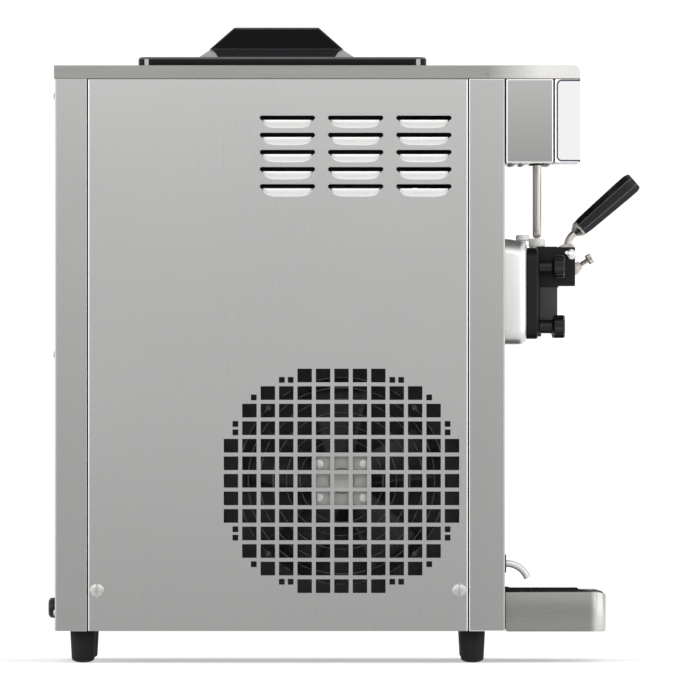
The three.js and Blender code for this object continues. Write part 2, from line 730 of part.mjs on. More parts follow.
// Five pitched blades on a hub that turns on the motor's shaft.
function fanBlade() {
  const hub = bar(fan.hubRadius, 'x', [-10, 10], [0, 0, 0]);
  const blades = [0, 1, 2, 3, 4].map((turn) => {
    const shape = new THREE.Shape();
    shape.moveTo(-16, 14);
    shape.lineTo(16, 14);
    shape.quadraticCurveTo(36, 60, 44, 100);
    shape.quadraticCurveTo(10, 118, -36, 108);
    shape.quadraticCurveTo(-30, 60, -16, 14);
    const geometry = new THREE.ExtrudeGeometry(shape, { depth: 1.6, bevelEnabled: false, curveSegments: 3 });
    geometry.translate(0, 0, -0.8);
    geometry.rotateY(Math.PI / 2 - radians(24));
    geometry.rotateX(radians(turn * 72));
    return solid(geometry);
  });
  const shaft = bar(4.5, 'x', [-11, 11], [0, 0, 0], 12);
  const mesh = part('fan_blade', joined([hub, ...blades]).subtract(shaft), 'blackPlastic');
  mesh.position.set(-199, fanY, fan.z);
  return mesh;
}

function controlBox() {
  const depth = [cabinet.front + 12, cabinet.front + 92];
  const box = block([70, 240], depth, [96, 320]);
  const lip = block([66, 244], [depth[1] - 10, depth[1]], [92, 324]);
  const glands = [100, 140, 180].map((x) => bar(9, 'z', [84, 97], [x, depth[0] + 36, 0], 12));
  return part('control_box', joined([box, lip, ...glands]), 'galvanised');
}

// ---------------------------------------------------------------- dispensing head

// The drawn steel box round the cylinders' mouths, with the four studs that hold the head.
function cylinderShroud() {
  const { back, front, bottom, top, halfWidth, corner, wall } = shroud;
  const shell = (inset, rear) => {
    const side = new THREE.Shape();
    const round = 10 - inset;
    const nose = ahead(front) + inset;
    side.moveTo(rear, bottom + inset);
    side.lineTo(rear, top - inset);
    side.lineTo(ahead(24), 502.9 - inset);
    side.lineTo(nose, 500 - inset);
    side.lineTo(nose, bottom + inset + round);
    side.absarc(nose + round, bottom + inset + round, round, Math.PI, Math.PI * 1.5);
    const width = [-halfWidth + inset, halfWidth - inset];
    const across = roundedRectangle(width, [bottom + inset, top - inset], corner);
    const wide = pushed(side, 'x', [-halfWidth, halfWidth]);
    return wide.intersect(pushed(across, 'y', [ahead(front) - cut, rear]));
  };
  const mouths = barrels.map(({ x }) =>
    bar(barrel.radius + 1, 'y', [ahead(front) - cut, ahead(front) + 5], [x, 0, barrel.z], 24)
  );
  const vents = barrels.map(({ x }) =>
    bar(plug.stemRadius + 0.5, 'z', [490, 512], [x, ahead(plug.ahead), 0], 12)
  );
  const studSpan = [ahead(stud.tip), ahead(front) + cut];
  const studs = studPlaces().map(([x, z]) => bar(stud.radius, 'y', studSpan, [x, 0, z], 8));
  const hollowed = cutBy(shell(0, ahead(back)), [shell(wall, ahead(back) + cut), ...mouths, ...vents]);
  return part('cylinder_shroud', joined([hollowed, ...studs]), 'polishedSteel');
}

function studPlaces() {
  return [stud.upperZ, stud.lowerZ].flatMap((z) => bothSides((side) => [side * stud.x, z]));
}

function headBlank() {
  const across = [-head.halfWidth, head.halfWidth];
  const wide = [-head.flangeHalfWidth, head.flangeHalfWidth];
  const tall = [head.flangeBottom, head.flangeTop];
  const thick = [ahead(head.flangeFront), ahead(head.flangeBack)];
  const flange = pushed(roundedRectangle(wide, tall, 14), 'y', thick);
  const bevel = sideOutline([
    [head.flangeFront - 3, head.flangeBottom - 0.7],
    [head.flangeFront + 1, head.flangeBottom - 0.7],
    [head.flangeFront + 1, head.flangeBottom + 4],
  ]);
  const body = new THREE.Shape();
  const fillet = 3.6;
  body.moveTo(ahead(head.flangeFront - 1), head.bodyBottom);
  body.lineTo(ahead(head.flangeFront - 1), head.bodyTop);
  body.lineTo(ahead(62), head.bodyTop);
  body.lineTo(ahead(66), 499.2);
  body.lineTo(ahead(head.boxFront), 499.2);
  body.lineTo(ahead(head.boxFront), head.boxBottom);
  body.lineTo(ahead(head.bodyFront + fillet), head.boxBottom);
  body.absarc(ahead(head.bodyFront + fillet), head.boxBottom - fillet, fillet, Math.PI / 2, 0, true);
  body.lineTo(ahead(head.bodyFront), head.bodyBottom);
  const heel = sideOutline([[39, 399], [39, 391.6], [44.4, 391.6], [44.4, 399]]);
  const rings = flavours.map(({ x }) =>
    bar(nozzle.ringRadius, 'z', [nozzle.bottom, head.bodyBottom + 1], [x, ahead(valve.ahead), 0], 16)
  );
  const bosses = flavours.map(({ x }) => {
    const wedge = sideOutline([
      [screwBoss.back, screwBoss.bottom],
      [screwBoss.lowAhead - 7, screwBoss.bottom],
      [screwBoss.lowAhead, screwBoss.lowZ],
      [screwBoss.topAhead, screwBoss.topZ],
      [screwBoss.back, screwBoss.topZ],
    ]);
    return pushed(wedge, 'x', [x - 6, x + 6]);
  });
  return joined([
    flange.subtract(pushed(bevel, 'x', wide)),
    pushed(body, 'x', across),
    pushed(heel, 'x', across),
    ...rings,
    ...bosses,
  ]);
}

// A star-shaped outlet, which gives the ice cream its ribs.
function starOutlet(x) {
  const points = [];
  for (let i = 0; i < nozzle.points * 2; i += 1) {
    const radius = i % 2 ? nozzle.starInner : nozzle.starOuter;
    const angle = (i * Math.PI) / nozzle.points;
    points.push([x + radius * Math.cos(angle), ahead(valve.ahead) + radius * Math.sin(angle)]);
  }
  return pushed(outline(points), 'z', [head.flangeBottom - 2, nozzle.starTop + 1]);
}

function leverSlot(x) {
  const shape = sideOutline([
    [44, 472],
    [66, 472],
    [74, 482.8],
    [head.boxFront + 1, 482.8],
    [head.boxFront + 1, 502],
    [44, 502],
  ]);
  return pushed(shape, 'x', [x - head.slotWidth / 2, x + head.slotWidth / 2]);
}

function screwHole(x) {
  const geometry = new THREE.CylinderGeometry(screw.radius + 0.5, screw.radius + 0.5, 20, 8);
  geometry.rotateX(Math.PI - radians(screw.tilt));
  geometry.translate(x, ahead(screw.rootAhead), screw.rootZ);
  return solid(geometry);
}

function dispensingHead() {
  const valveY = ahead(valve.ahead);
  const rear = ahead(head.flangeBack) + cut;
  const boreSpan = [nozzle.starTop, head.bodyTop + cut];
  const bores = flavours.map(({ x }) => bar(valve.radius + gap, 'z', boreSpan, [x, valveY, 0], 24));
  const passages = barrels.map(({ x }) => bar(feed.radius, 'y', [valveY, rear], [x, 0, feed.z], 12));
  const twist = block([-42, 42], [ahead(33), rear], [feed.z - feed.radius, feed.z + feed.radius]);
  const studHoles = studPlaces().map(([x, z]) =>
    bar(stud.radius + 0.9, 'y', [ahead(head.flangeFront) - cut, rear], [x, 0, z], 12)
  );
  const rodHole = bar(pivot.rodRadius + 0.4, 'x', [-140, 140], [0, ahead(pivot.ahead), pivot.z], 12);
  const body = cutBy(headBlank(), [
    ...bores,
    ...flavours.map(({ x }) => starOutlet(x)),
    ...passages,
    twist,
    ...studHoles,
    ...flavours.map(({ x }) => leverSlot(x)),
    ...flavours.map(({ x }) => screwHole(x)),
    rodHole,
  ]);
  return part('dispensing_head', body, 'headPlastic');
}

// The rod that all three levers swing on, with a pull cap on its left end.
function pivotRod() {
  const end = -head.halfWidth - gap;
  const body = joined([
    bar(pivot.rodRadius, 'x', [end - 3, head.halfWidth + 3], [0, 0, 0], 12),
    bar(6.6, 'x', [end - 6, end], [0, 0, 0]),
    bar(2.4, 'x', [end - 10, end - 3], [0, 4.9, 1.8], 10),
  ]);
  const mesh = part('pivot_rod', body, 'polishedSteel');
  mesh.position.set(0, ahead(pivot.ahead), pivot.z);
  return mesh;
}

// Everything on a lever is drawn from its pivot: forwards is -Y and the arm points back.
function leverArm({ name, x }) {
  const half = [-lever.width / 2, lever.width / 2];
  const drop = radians(lever.armDrop);
  const tip = [lever.armLength * Math.cos(drop), -lever.armLength * Math.sin(drop)];
  const lift = [Math.sin(drop), Math.cos(drop)];
  const flank = (along, height) => [along * tip[0] + height * lift[0], along * tip[1] + height * lift[1]];
  const arm = outline([flank(0, -5.5), flank(1, -1.8), flank(1, 1.8), flank(0, 5.5)]);
  const saddle = outline([[-4.7, 6], [-4.7, 10.4], [-2, 12.6], [2.5, 13.3], [8, 12.4], [13.5, 10], [6, 4]]);
  const bend = new THREE.QuadraticBezierCurve3(
    new THREE.Vector3(0, 2.6, 10),
    new THREE.Vector3(0, 0.8, 19.5),
    new THREE.Vector3(0, -6.2, 27)
  );
  const round = circleOutline(lever.stemRadius, 8);
  const stem = solid(new THREE.ExtrudeGeometry(round, { extrudePath: bend, steps: 4, bevelEnabled: false }));
  const ferrule = lathe(
    [
      [0, -9.4],
      [3.4, -9.4],
      [9.6, -1.8],
      [9.6, -gap],
      [lever.stemRadius, -gap],
      [lever.stemRadius, 30],
      [0, 30],
    ],
    12
  );
  const body = joined([
    bar(lever.hubRadius, 'x', half, [0, 0, 0]),
    pushed(arm, 'x', half),
    bar(lever.tipRadius, 'x', half, [0, ...tip], 12),
    pushed(saddle, 'x', half),
    stem,
    solid(placeOnGripAxis(ferrule)),
  ]);
  const hole = bar(pivot.rodRadius + 0.4, 'x', [half[0] - cut, half[1] + cut], [0, 0, 0], 12);
  const mesh = part(`lever_${name}`, body.subtract(hole), 'polishedSteel');
  mesh.position.set(x, ahead(pivot.ahead), pivot.z);
  return mesh;
}

// Lays a geometry that stands on its own Y axis along the grip, starting where the grip starts.
function placeOnGripAxis(geometry) {
  geometry.rotateX(Math.PI - radians(grip.tilt));
  geometry.translate(0, -grip.startAhead, grip.startUp);
  return geometry;
}

function leverGrip({ name, x }) {
  const facets = 8;
  const profile = [
    [0, 0],
    [9.6, 0],
    [11.4, 9],
    [13.4, 68],
    [13.4, grip.length - 6.5],
    [10.6, grip.length],
    [0, grip.length],
  ];
  const handle = lathe(profile, facets);
  handle.rotateY(Math.PI / facets);
  const socket = new THREE.CylinderGeometry(3.6, 3.6, 34, 12);
  socket.translate(0, 17 - cut, 0);
  const body = solid(placeOnGripAxis(handle)).subtract(solid(placeOnGripAxis(socket)));
  const mesh = part(`grip_${name}`, body, 'blackPlastic');
  mesh.position.set(x, ahead(pivot.ahead), pivot.z);
  return mesh;
}

// The draw valve: a plunger that the lever's arm lifts, by a notch cut into its front.
function plunger({ name, x }) {
  const notchMiddle = pivot.z - lever.armLength * Math.sin(radians(lever.armDrop));
  const reach = lever.tipRadius + 0.8;
  const body = joined([
    bar(valve.radius, 'z', [valve.bottom, valve.capBottom + 1], [0, 0, 0]),
    bar(valve.capRadius, 'z', [valve.capBottom, valve.capTop], [0, 0, 0]),
  ]);
  const notch = block([-5.2, 5.2], [-valve.radius - cut, 4.9], [notchMiddle - reach, notchMiddle + reach]);
  const mesh = part(`plunger_${name}`, body.subtract(notch), 'whitePlastic');
  mesh.position.set(x, ahead(valve.ahead), 0);
  return mesh;
}

// The steel rod that a rising plunger pushes up into the housing, where it starts the beater.
function pushRodPart({ name, x }) {
  const { radius, bottom, top, collarRadius, collarHeight } = pushRod;
  const body = turned(
    [
      [0, bottom],
      [2.6, bottom + 0.6],
      [radius, bottom + 3],
      [radius, top],
      [collarRadius, top],
      [collarRadius, top + collarHeight],
      [0, top + collarHeight],
    ],
    'z',
    12
  );
  const mesh = part(`push_rod_${name}`, body, 'polishedSteel');
  mesh.position.set(x, ahead(valve.ahead), 0);
  return mesh;
}

// A lobed hand nut on a long hub.
function handKnob(name, x, z) {
  const lobes = 6;
  const points = [];
  for (let i = 0; i < lobes * 4; i += 1) {
    const angle = (i * 2 * Math.PI) / (lobes * 4);
    const radius = knob.radius + knob.lobe * Math.cos(lobes * angle);
    points.push([radius * Math.cos(angle), radius * Math.sin(angle)]);
  }
  const length = knob.wheelEnd - knob.hubStart;
  const wheelStart = knob.wheelStart - knob.hubStart;
  const body = joined([
    pushed(outline(points), 'y', [-length, -wheelStart]),
    bar(knob.hubRadius, 'y', [-wheelStart - 1, 0], [0, 0, 0], 12),
  ]);
  const socketEnd = knob.hubStart - stud.tip - 1;
  const socket = bar(stud.radius + 0.6, 'y', [socketEnd, cut], [0, 0, 0], 10);
  const mesh = part(name, body.subtract(socket), 'blackPlastic');
  mesh.position.set(x, ahead(knob.hubStart), z);
  return mesh;
}

function handKnobs() {
  return studPlaces().map(([x, z]) => {
    const level = z === stud.upperZ ? 'upper' : 'lower';
    return handKnob(`knob_${level}_${x < 0 ? 'left' : 'right'}`, x, z);
  });
}

// The thumb screw ahead of each lever, which sets how far the valve opens.
function flowScrew({ name, x }) {
  const { radius, stem, tilt } = screw;
  const geometry = lathe(
    [
      [0, -7],
      [radius, -7],
      [radius, stem],
      [screwHead.radius, stem],
      [screwHead.radius, stem + screwHead.length],
      [0, stem + screwHead.length],
    ],
    12
  );
  const mesh = part(`flow_screw_${name}`, solid(geometry), 'polishedSteel');
  mesh.rotation.x = Math.PI - radians(tilt);
  mesh.position.set(x, ahead(screw.rootAhead), screw.rootZ);
  return mesh;
}

function bleedPlug({ name, x }) {
  const body = turned(
    [
      [0, plug.bottom],
      [plug.stemRadius, plug.bottom],
      [plug.stemRadius, plug.capBottom],
      [plug.capRadius, plug.capBottom],
      [plug.capRadius, plug.capTop],
      [0, plug.capTop],
    ],
    'z',
    12
  );
  const mesh = part(`bleed_plug_${name}`, body, 'whitePlastic');
  mesh.position.set(x, ahead(plug.ahead), 0);
  return mesh;
}

// ---------------------------------------------------------------- drip tray, spout, feet, gland

function dripTray() {
  const { halfWidth, corner, bottom, top, noseDrop } = tray;
  const depth = [ahead(tray.front), ahead(tray.back)];
  const plan = (inset) => {
    const shape = roundedRectangle(
      [-halfWidth + inset, halfWidth - inset],
      [depth[0] + inset, depth[1] + corner * 2],
      corner - inset
    );
    return pushed(shape, 'z', [inset > 0 ? bottom + inset : bottom, top + (inset > 0 ? cut : 0)]);
  };
  const wide = [-halfWidth, halfWidth];
  const outside = plan(0).intersect(block(wide, depth, [bottom, top]));
  const inside = plan(sheet).intersect(block(wide, [depth[0], depth[1] - sheet], [bottom, top + cut]));
  const nose = sideOutline([
    [tray.front - 10, top + cut],
    [tray.front - 10, top],
    [tray.front + cut, top - noseDrop],
    [tray.front + cut, top + cut],
  ]);
  return part('drip_tray', cutBy(outside, [inside, pushed(nose, 'x', wide)]), 'coverSteel');
}

// The slotted rack that the cups stand on: flat over the tray's rim, dipping inside it at the front.
function dripRack() {
  const base = tray.top + gap;
  const { flatFront, frontEdge, thickness, slotLength, slotWidth, pitch } = rack;
  const half = tray.halfWidth - 0.5;
  const inside = tray.halfWidth - sheet - 8;
  const flat = block([-half, half], [ahead(flatFront), ahead(tray.back)], [base, base + thickness]);
  const dip = sideOutline([
    [flatFront - 1, base],
    [flatFront - 1, base + thickness],
    [flatFront, base + thickness],
    [frontEdge, base - 2.5],
    [frontEdge, base - 2.5 - thickness],
    [flatFront, base],
  ]);
  const backEdge = block([-half, half], [ahead(7), ahead(tray.back)], [base, 88]);
  const slots = [];
  for (let column = -5; column <= 4; column += 1) {
    const x = (column + 0.5) * pitch;
    const across = [x - slotLength / 2, x + slotLength / 2];
    for (const middle of [30, 66]) {
      const y = ahead(middle);
      slots.push(block(across, [y - slotWidth / 2, y + slotWidth / 2], [base - cut, base + thickness + cut]));
    }
  }
  const body = joined([flat, pushed(dip, 'x', [-inside, inside]), backEdge]);
  return part('drip_rack', cutBy(body, slots), 'blackPlastic');
}

// A short bent pipe in a collar, which drains what leaks past the beaters' seals into the tray.
function dripSpout() {
  const flat = 2.6;
  const bends = 6;
  const route = [new THREE.Vector3(0, 12, 0), new THREE.Vector3(0, 5, 0)];
  for (let step = 0; step <= bends; step += 1) {
    const angle = (radians(spout.sweep) * step) / bends;
    const y = -flat - spout.bend * Math.sin(angle);
    route.push(new THREE.Vector3(0, y, spout.bend * (Math.cos(angle) - 1)));
  }
  const section = circleOutline(spout.radius, 8);
  section.holes.push(new THREE.Path(circleOutline(spout.bore, 8).getPoints().reverse()));
  const extrudePath = new THREE.CatmullRomCurve3(route);
  const pipe = solid(new THREE.ExtrudeGeometry(section, { extrudePath, steps: 9, bevelEnabled: false }));
  const collar = turned(
    [
      [spout.radius - 0.6, -2.3],
      [spout.flangeRadius, -2.3],
      [spout.flangeRadius, -gap],
      [spout.radius - 0.6, -gap],
      [spout.radius - 0.6, -2.3],
    ],
    'y',
    16
  );
  const mesh = part('drip_spout', pipe.add(collar), 'whitePlastic');
  mesh.position.set(spout.x, cabinet.front, spout.z);
  return mesh;
}

function footPlaces() {
  const x = cabinet.halfWidth - foot.inset;
  const front = cabinet.front + foot.behindFront;
  const rear = cabinet.rear - foot.aheadOfRear;
  return [front, rear].flatMap((y) => [[-x, y], [x, y]]);
}

function feet() {
  return footPlaces().map(([x, y]) => {
    const body = turned(
      [
        [0, 0],
        [foot.bottomRadius - 2.5, 0],
        [foot.bottomRadius, 2.5],
        [foot.topRadius, cabinet.bottom - 1.5],
        [foot.topRadius - 1, cabinet.bottom],
        [4, cabinet.bottom],
        [4, cabinet.bottom + 10],
        [0, cabinet.bottom + 10],
      ],
      'z',
      16
    );
    const end = y < 0 ? 'front' : 'rear';
    const mesh = part(`foot_${end}_${x < 0 ? 'left' : 'right'}`, body, 'rubber');
    mesh.position.set(x, y, 0);
    return mesh;
  });
}

// The collar in the rear panel that the mains cord enters by.
function cableGland() {
  const face = cabinet.rear + gap;
  const { radius, reach, neck, bore } = gland;
  const body = turned(
    [
      [bore, face - 9],
      [radius, face - 9],
      [radius, face - 4],
      [neck, face - 4],
      [neck, face],
      [radius, face],
      [radius, face + 2.5],
      [radius - 3.2, face + reach - gap],
      [bore, face + reach - gap],
      [bore, face - 9],
    ],
    'y',
    16
  );
  const mesh = part('cable_gland', body, 'blackPlastic');
  mesh.position.set(gland.x, 0, gland.z);
  return mesh;
}

// ---------------------------------------------------------------- assembly

const machine = new THREE.Group();

machine.add(
  basePan(),
  shelf(),
  leftSidePanel(),
  rightSidePanel(),
  rearPanel(),
  frontPanel(),
  topCover(),
  frontHousing(),
  displayCover(),
  displayPanel(),
  ...tanks.map(hopperTank),
  ...tanks.map(hopperLid),
  ...barrels.map(freezingCylinder),
  ...barrels.map(beater),
  ...barrels.map(gearbox),
  ...barrels.map(driveMotor),
  compressor(),
  condenser(),
  fanGuard(),
  fanMotor(),
  fanBlade(),
  controlBox(),
  cylinderShroud(),
  dispensingHead(),
  pivotRod(),
  ...flavours.map(leverArm),
  ...flavours.map(leverGrip),
  ...flavours.map(plunger),
  ...flavours.map(pushRodPart),
  ...flavours.map(flowScrew),
  ...handKnobs(),
  ...barrels.map(bleedPlug),
  dripTray(),
  dripRack(),
  dripSpout(),
  ...feet(),
  cableGland()
);

export default machine;
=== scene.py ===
from math import copysign, cos, pi, radians, sin

import bpy
import bmesh
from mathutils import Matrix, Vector
from mathutils.geometry import tessellate_polygon


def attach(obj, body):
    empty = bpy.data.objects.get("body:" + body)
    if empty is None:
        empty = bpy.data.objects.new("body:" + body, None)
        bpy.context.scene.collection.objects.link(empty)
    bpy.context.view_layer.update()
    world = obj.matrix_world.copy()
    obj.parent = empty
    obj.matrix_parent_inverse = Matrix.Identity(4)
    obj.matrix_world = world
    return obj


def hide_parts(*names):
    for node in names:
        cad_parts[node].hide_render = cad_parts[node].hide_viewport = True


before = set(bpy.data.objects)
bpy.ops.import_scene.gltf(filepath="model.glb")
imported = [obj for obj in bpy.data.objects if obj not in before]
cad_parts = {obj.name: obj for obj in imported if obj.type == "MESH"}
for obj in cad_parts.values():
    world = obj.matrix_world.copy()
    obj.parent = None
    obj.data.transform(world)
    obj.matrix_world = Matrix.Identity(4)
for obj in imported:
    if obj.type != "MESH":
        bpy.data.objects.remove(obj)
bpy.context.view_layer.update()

# The looks of a countertop soft-serve ice cream machine, built round its CAD frame.
# Sizes below are millimetres; MM turns them into metres when a mesh is made.
MM = 0.001
FRONT = -192.5         # the cabinet's front face, along Y
REAR = 349.0
HALF = 270.0           # half the cabinet's width
BOTTOM = 38.0
PANEL_TOP = 700.7
COVER_BOTTOM, COVER_TOP = 701, 717
HOUSING_FLOOR = 600
HOPPER_X, HOPPER_Y = 110.0, 74.7
GLAND_X, GLAND_Z = -205.0, 65.6
SIDES = ((-1, "left"), (1, "right"))
FLAVOURS = (("left", -80.0), ("centre", 0.0), ("right", 80.0))
STUDS = [(x, z) for x in (-152, 152) for z in (475.8, 403.6)]
UP, RIGHT, FORWARD, BACKWARD = (0, 0, 1), (1, 0, 0), (0, -1, 0), (0, 1, 0)


def ahead(distance):
    """Y of a point that far ahead of the cabinet's front face."""
    return FRONT - distance


VALVE_Y = ahead(40)


def seen_from_side(points):
    """(distance ahead of the front face, height) pairs as (y, z) points."""
    return [(ahead(s), z) for s, z in points]


# ---- materials

def node(tree, kind, **inputs):
    """A new node. Underscores in the names of its inputs stand for spaces."""
    made = tree.nodes.new(kind)
    for key, value in inputs.items():
        made.inputs[key.replace("_", " ")].default_value = value
    return made


def object_space(tree):
    return tree.nodes.new("ShaderNodeTexCoord").outputs["Object"]


def grain(tree, scale, detail=3.0, roughness=0.55):
    """Noise in object space, with its own scale along each axis (cycles per metre)."""
    mapping = node(tree, "ShaderNodeMapping", Scale=scale)
    noise = node(tree, "ShaderNodeTexNoise", Scale=1.0, Detail=detail, Roughness=roughness)
    tree.links.new(object_space(tree), mapping.inputs["Vector"])
    tree.links.new(mapping.outputs["Vector"], noise.inputs["Vector"])
    return noise.outputs["Fac"]


def spread(tree, source, low, high, from_low=0.3, from_high=0.7):
    """The source's range from_low to from_high stretched to low to high."""
    made = node(tree, "ShaderNodeMapRange", From_Min=from_low, From_Max=from_high, To_Min=low,
                To_Max=high)
    tree.links.new(source, made.inputs["Value"])
    return made.outputs["Result"]


def two_tone(tree, source, dark, light, low=0.3, high=0.7):
    ramp = tree.nodes.new("ShaderNodeValToRGB")
    for element, place, color in zip(ramp.color_ramp.elements, (low, high), (dark, light)):
        element.position = place
        element.color = (*color, 1)
    tree.links.new(source, ramp.inputs["Fac"])
    return ramp.outputs["Color"]


def tint(color, factor):
    """The colour made lighter or darker by a factor."""
    return tuple(min(1.0, c * factor) for c in color)


def make_material(name, color, metallic, roughness, cycles, contrast, wobble=0.06, bump=0.05,
                  depth=0.0001, detail=3.0, **sockets):
    """A surface whose colour, roughness and relief all follow one grain, with so many cycles per
    metre along each axis. A slow cloud lies over the roughness, as on handled metal and plastic."""
    made = bpy.data.materials.new(name)
    made.use_nodes = True
    tree = made.node_tree
    bsdf = tree.nodes["Principled BSDF"]
    bsdf.inputs["Metallic"].default_value = metallic
    for key, value in sockets.items():
        bsdf.inputs[key.replace("_", " ")].default_value = value
    fine = grain(tree, cycles if isinstance(cycles, tuple) else (cycles,) * 3, detail)
    cloud = grain(tree, (6.0, 6.0, 6.0), 2.0)
    tone = two_tone(tree, fine, tint(color, 1 - contrast), tint(color, 1 + contrast))
    tree.links.new(tone, bsdf.inputs["Base Color"])
    both = tree.nodes.new("ShaderNodeMath")
    both.operation = "ADD"
    tree.links.new(spread(tree, fine, roughness - wobble, roughness + wobble), both.inputs[0])
    tree.links.new(spread(tree, cloud, -wobble * 0.6, wobble * 0.6), both.inputs[1])
    tree.links.new(both.outputs[0], bsdf.inputs["Roughness"])
    relief = node(tree, "ShaderNodeBump", Strength=bump, Distance=depth)
    tree.links.new(fine, relief.inputs["Height"])
    tree.links.new(relief.outputs["Normal"], bsdf.inputs["Normal"])
    return made


def brushed(name, color, roughness, cycles, across, *grain_values):
    """Steel with brush lines, which run front to back if across and otherwise up and down."""
    made = make_material(name, color, 1.0, roughness, cycles, *grain_values)
    tree = made.node_tree
    bsdf = tree.nodes["Principled BSDF"]
    bsdf.inputs["Anisotropic"].default_value = 0.7
    bsdf.inputs["Anisotropic Rotation"].default_value = 0.25 if across else 0.0
    tangent = tree.nodes.new("ShaderNodeTangent")
    tangent.direction_type = "RADIAL"
    tangent.axis = "Z"
    tree.links.new(tangent.outputs["Tangent"], bsdf.inputs["Tangent"])
    return made


def graded(material, axis, start, end, low, high):
    """The same surface with its colour scaled from low to high along an axis, in metres."""
    tree = material.node_tree
    base = tree.nodes["Principled BSDF"].inputs["Base Color"]
    tone = base.links[0].from_socket
    axes = tree.nodes.new("ShaderNodeSeparateXYZ")
    scale = tree.nodes.new("ShaderNodeVectorMath")
    scale.operation = "SCALE"
    tree.links.new(object_space(tree), axes.inputs["Vector"])
    factor = spread(tree, axes.outputs[axis], low, high, start, end)
    tree.links.new(tone, scale.inputs[0])
    tree.links.new(factor, scale.inputs["Scale"])
    tree.links.new(scale.outputs["Vector"], base)
    return material


def spangled(name, color, roughness):
    """Galvanised sheet: flat crystals, each with its own shade of grey."""
    made = make_material(name, color, 0.85, roughness, 300, 0.05, depth=0.0002)
    tree = made.node_tree
    bsdf = tree.nodes["Principled BSDF"]
    cells = node(tree, "ShaderNodeTexVoronoi", Scale=120.0)
    tree.links.new(object_space(tree), cells.inputs["Vector"])
    shade = two_tone(tree, cells.outputs["Color"], tint(color, 0.8), tint(color, 1.15), 0.1, 0.9)
    tree.links.new(shade, bsdf.inputs["Base Color"])
    return made


def plastic(name, color, roughness, cycles, contrast, wobble, bump, shine=0.5, depth=0.0001,
            detail=2.0, **sockets):
    return make_material(name, color, 0.0, roughness, cycles, contrast, wobble, bump, depth, detail,
                         Specular_IOR_Level=shine, **sockets)


def steel_with_painted_foot_shade(name, color, low_z, high_z, low):
    """Sheet brushed up and down, with painted shade that darkens its colour towards its foot, as studio light
    falls less there.
    """
    steel = brushed(name, color, 0.28, (900, 900, 6), False, 0.005, 0.006, 0.002, 0.0001)
    return graded(steel, "Z", low_z, high_z, low, 1.0)


def cover_steel(name):
    return brushed(name, (0.25, 0.247, 0.238), 0.27, (500, 7, 500), True, 0.04, 0.02, 0.006, 0.0001)


def tray_steel_painted_light(name):
    """Brighter at its front, which is a painted highlight, and darker towards its rim, which is painted
    shade.
    """
    steel = brushed(name, (0.185, 0.183, 0.176), 0.27, (500, 7, 500), True, 0.03, 0.015, 0.004, 0.0001)
    graded(steel, "Y", ahead(110) * MM, ahead(103) * MM, 2.3, 1.0)
    return graded(steel, "Z", 0.045, 0.080, 1.33, 0.97)


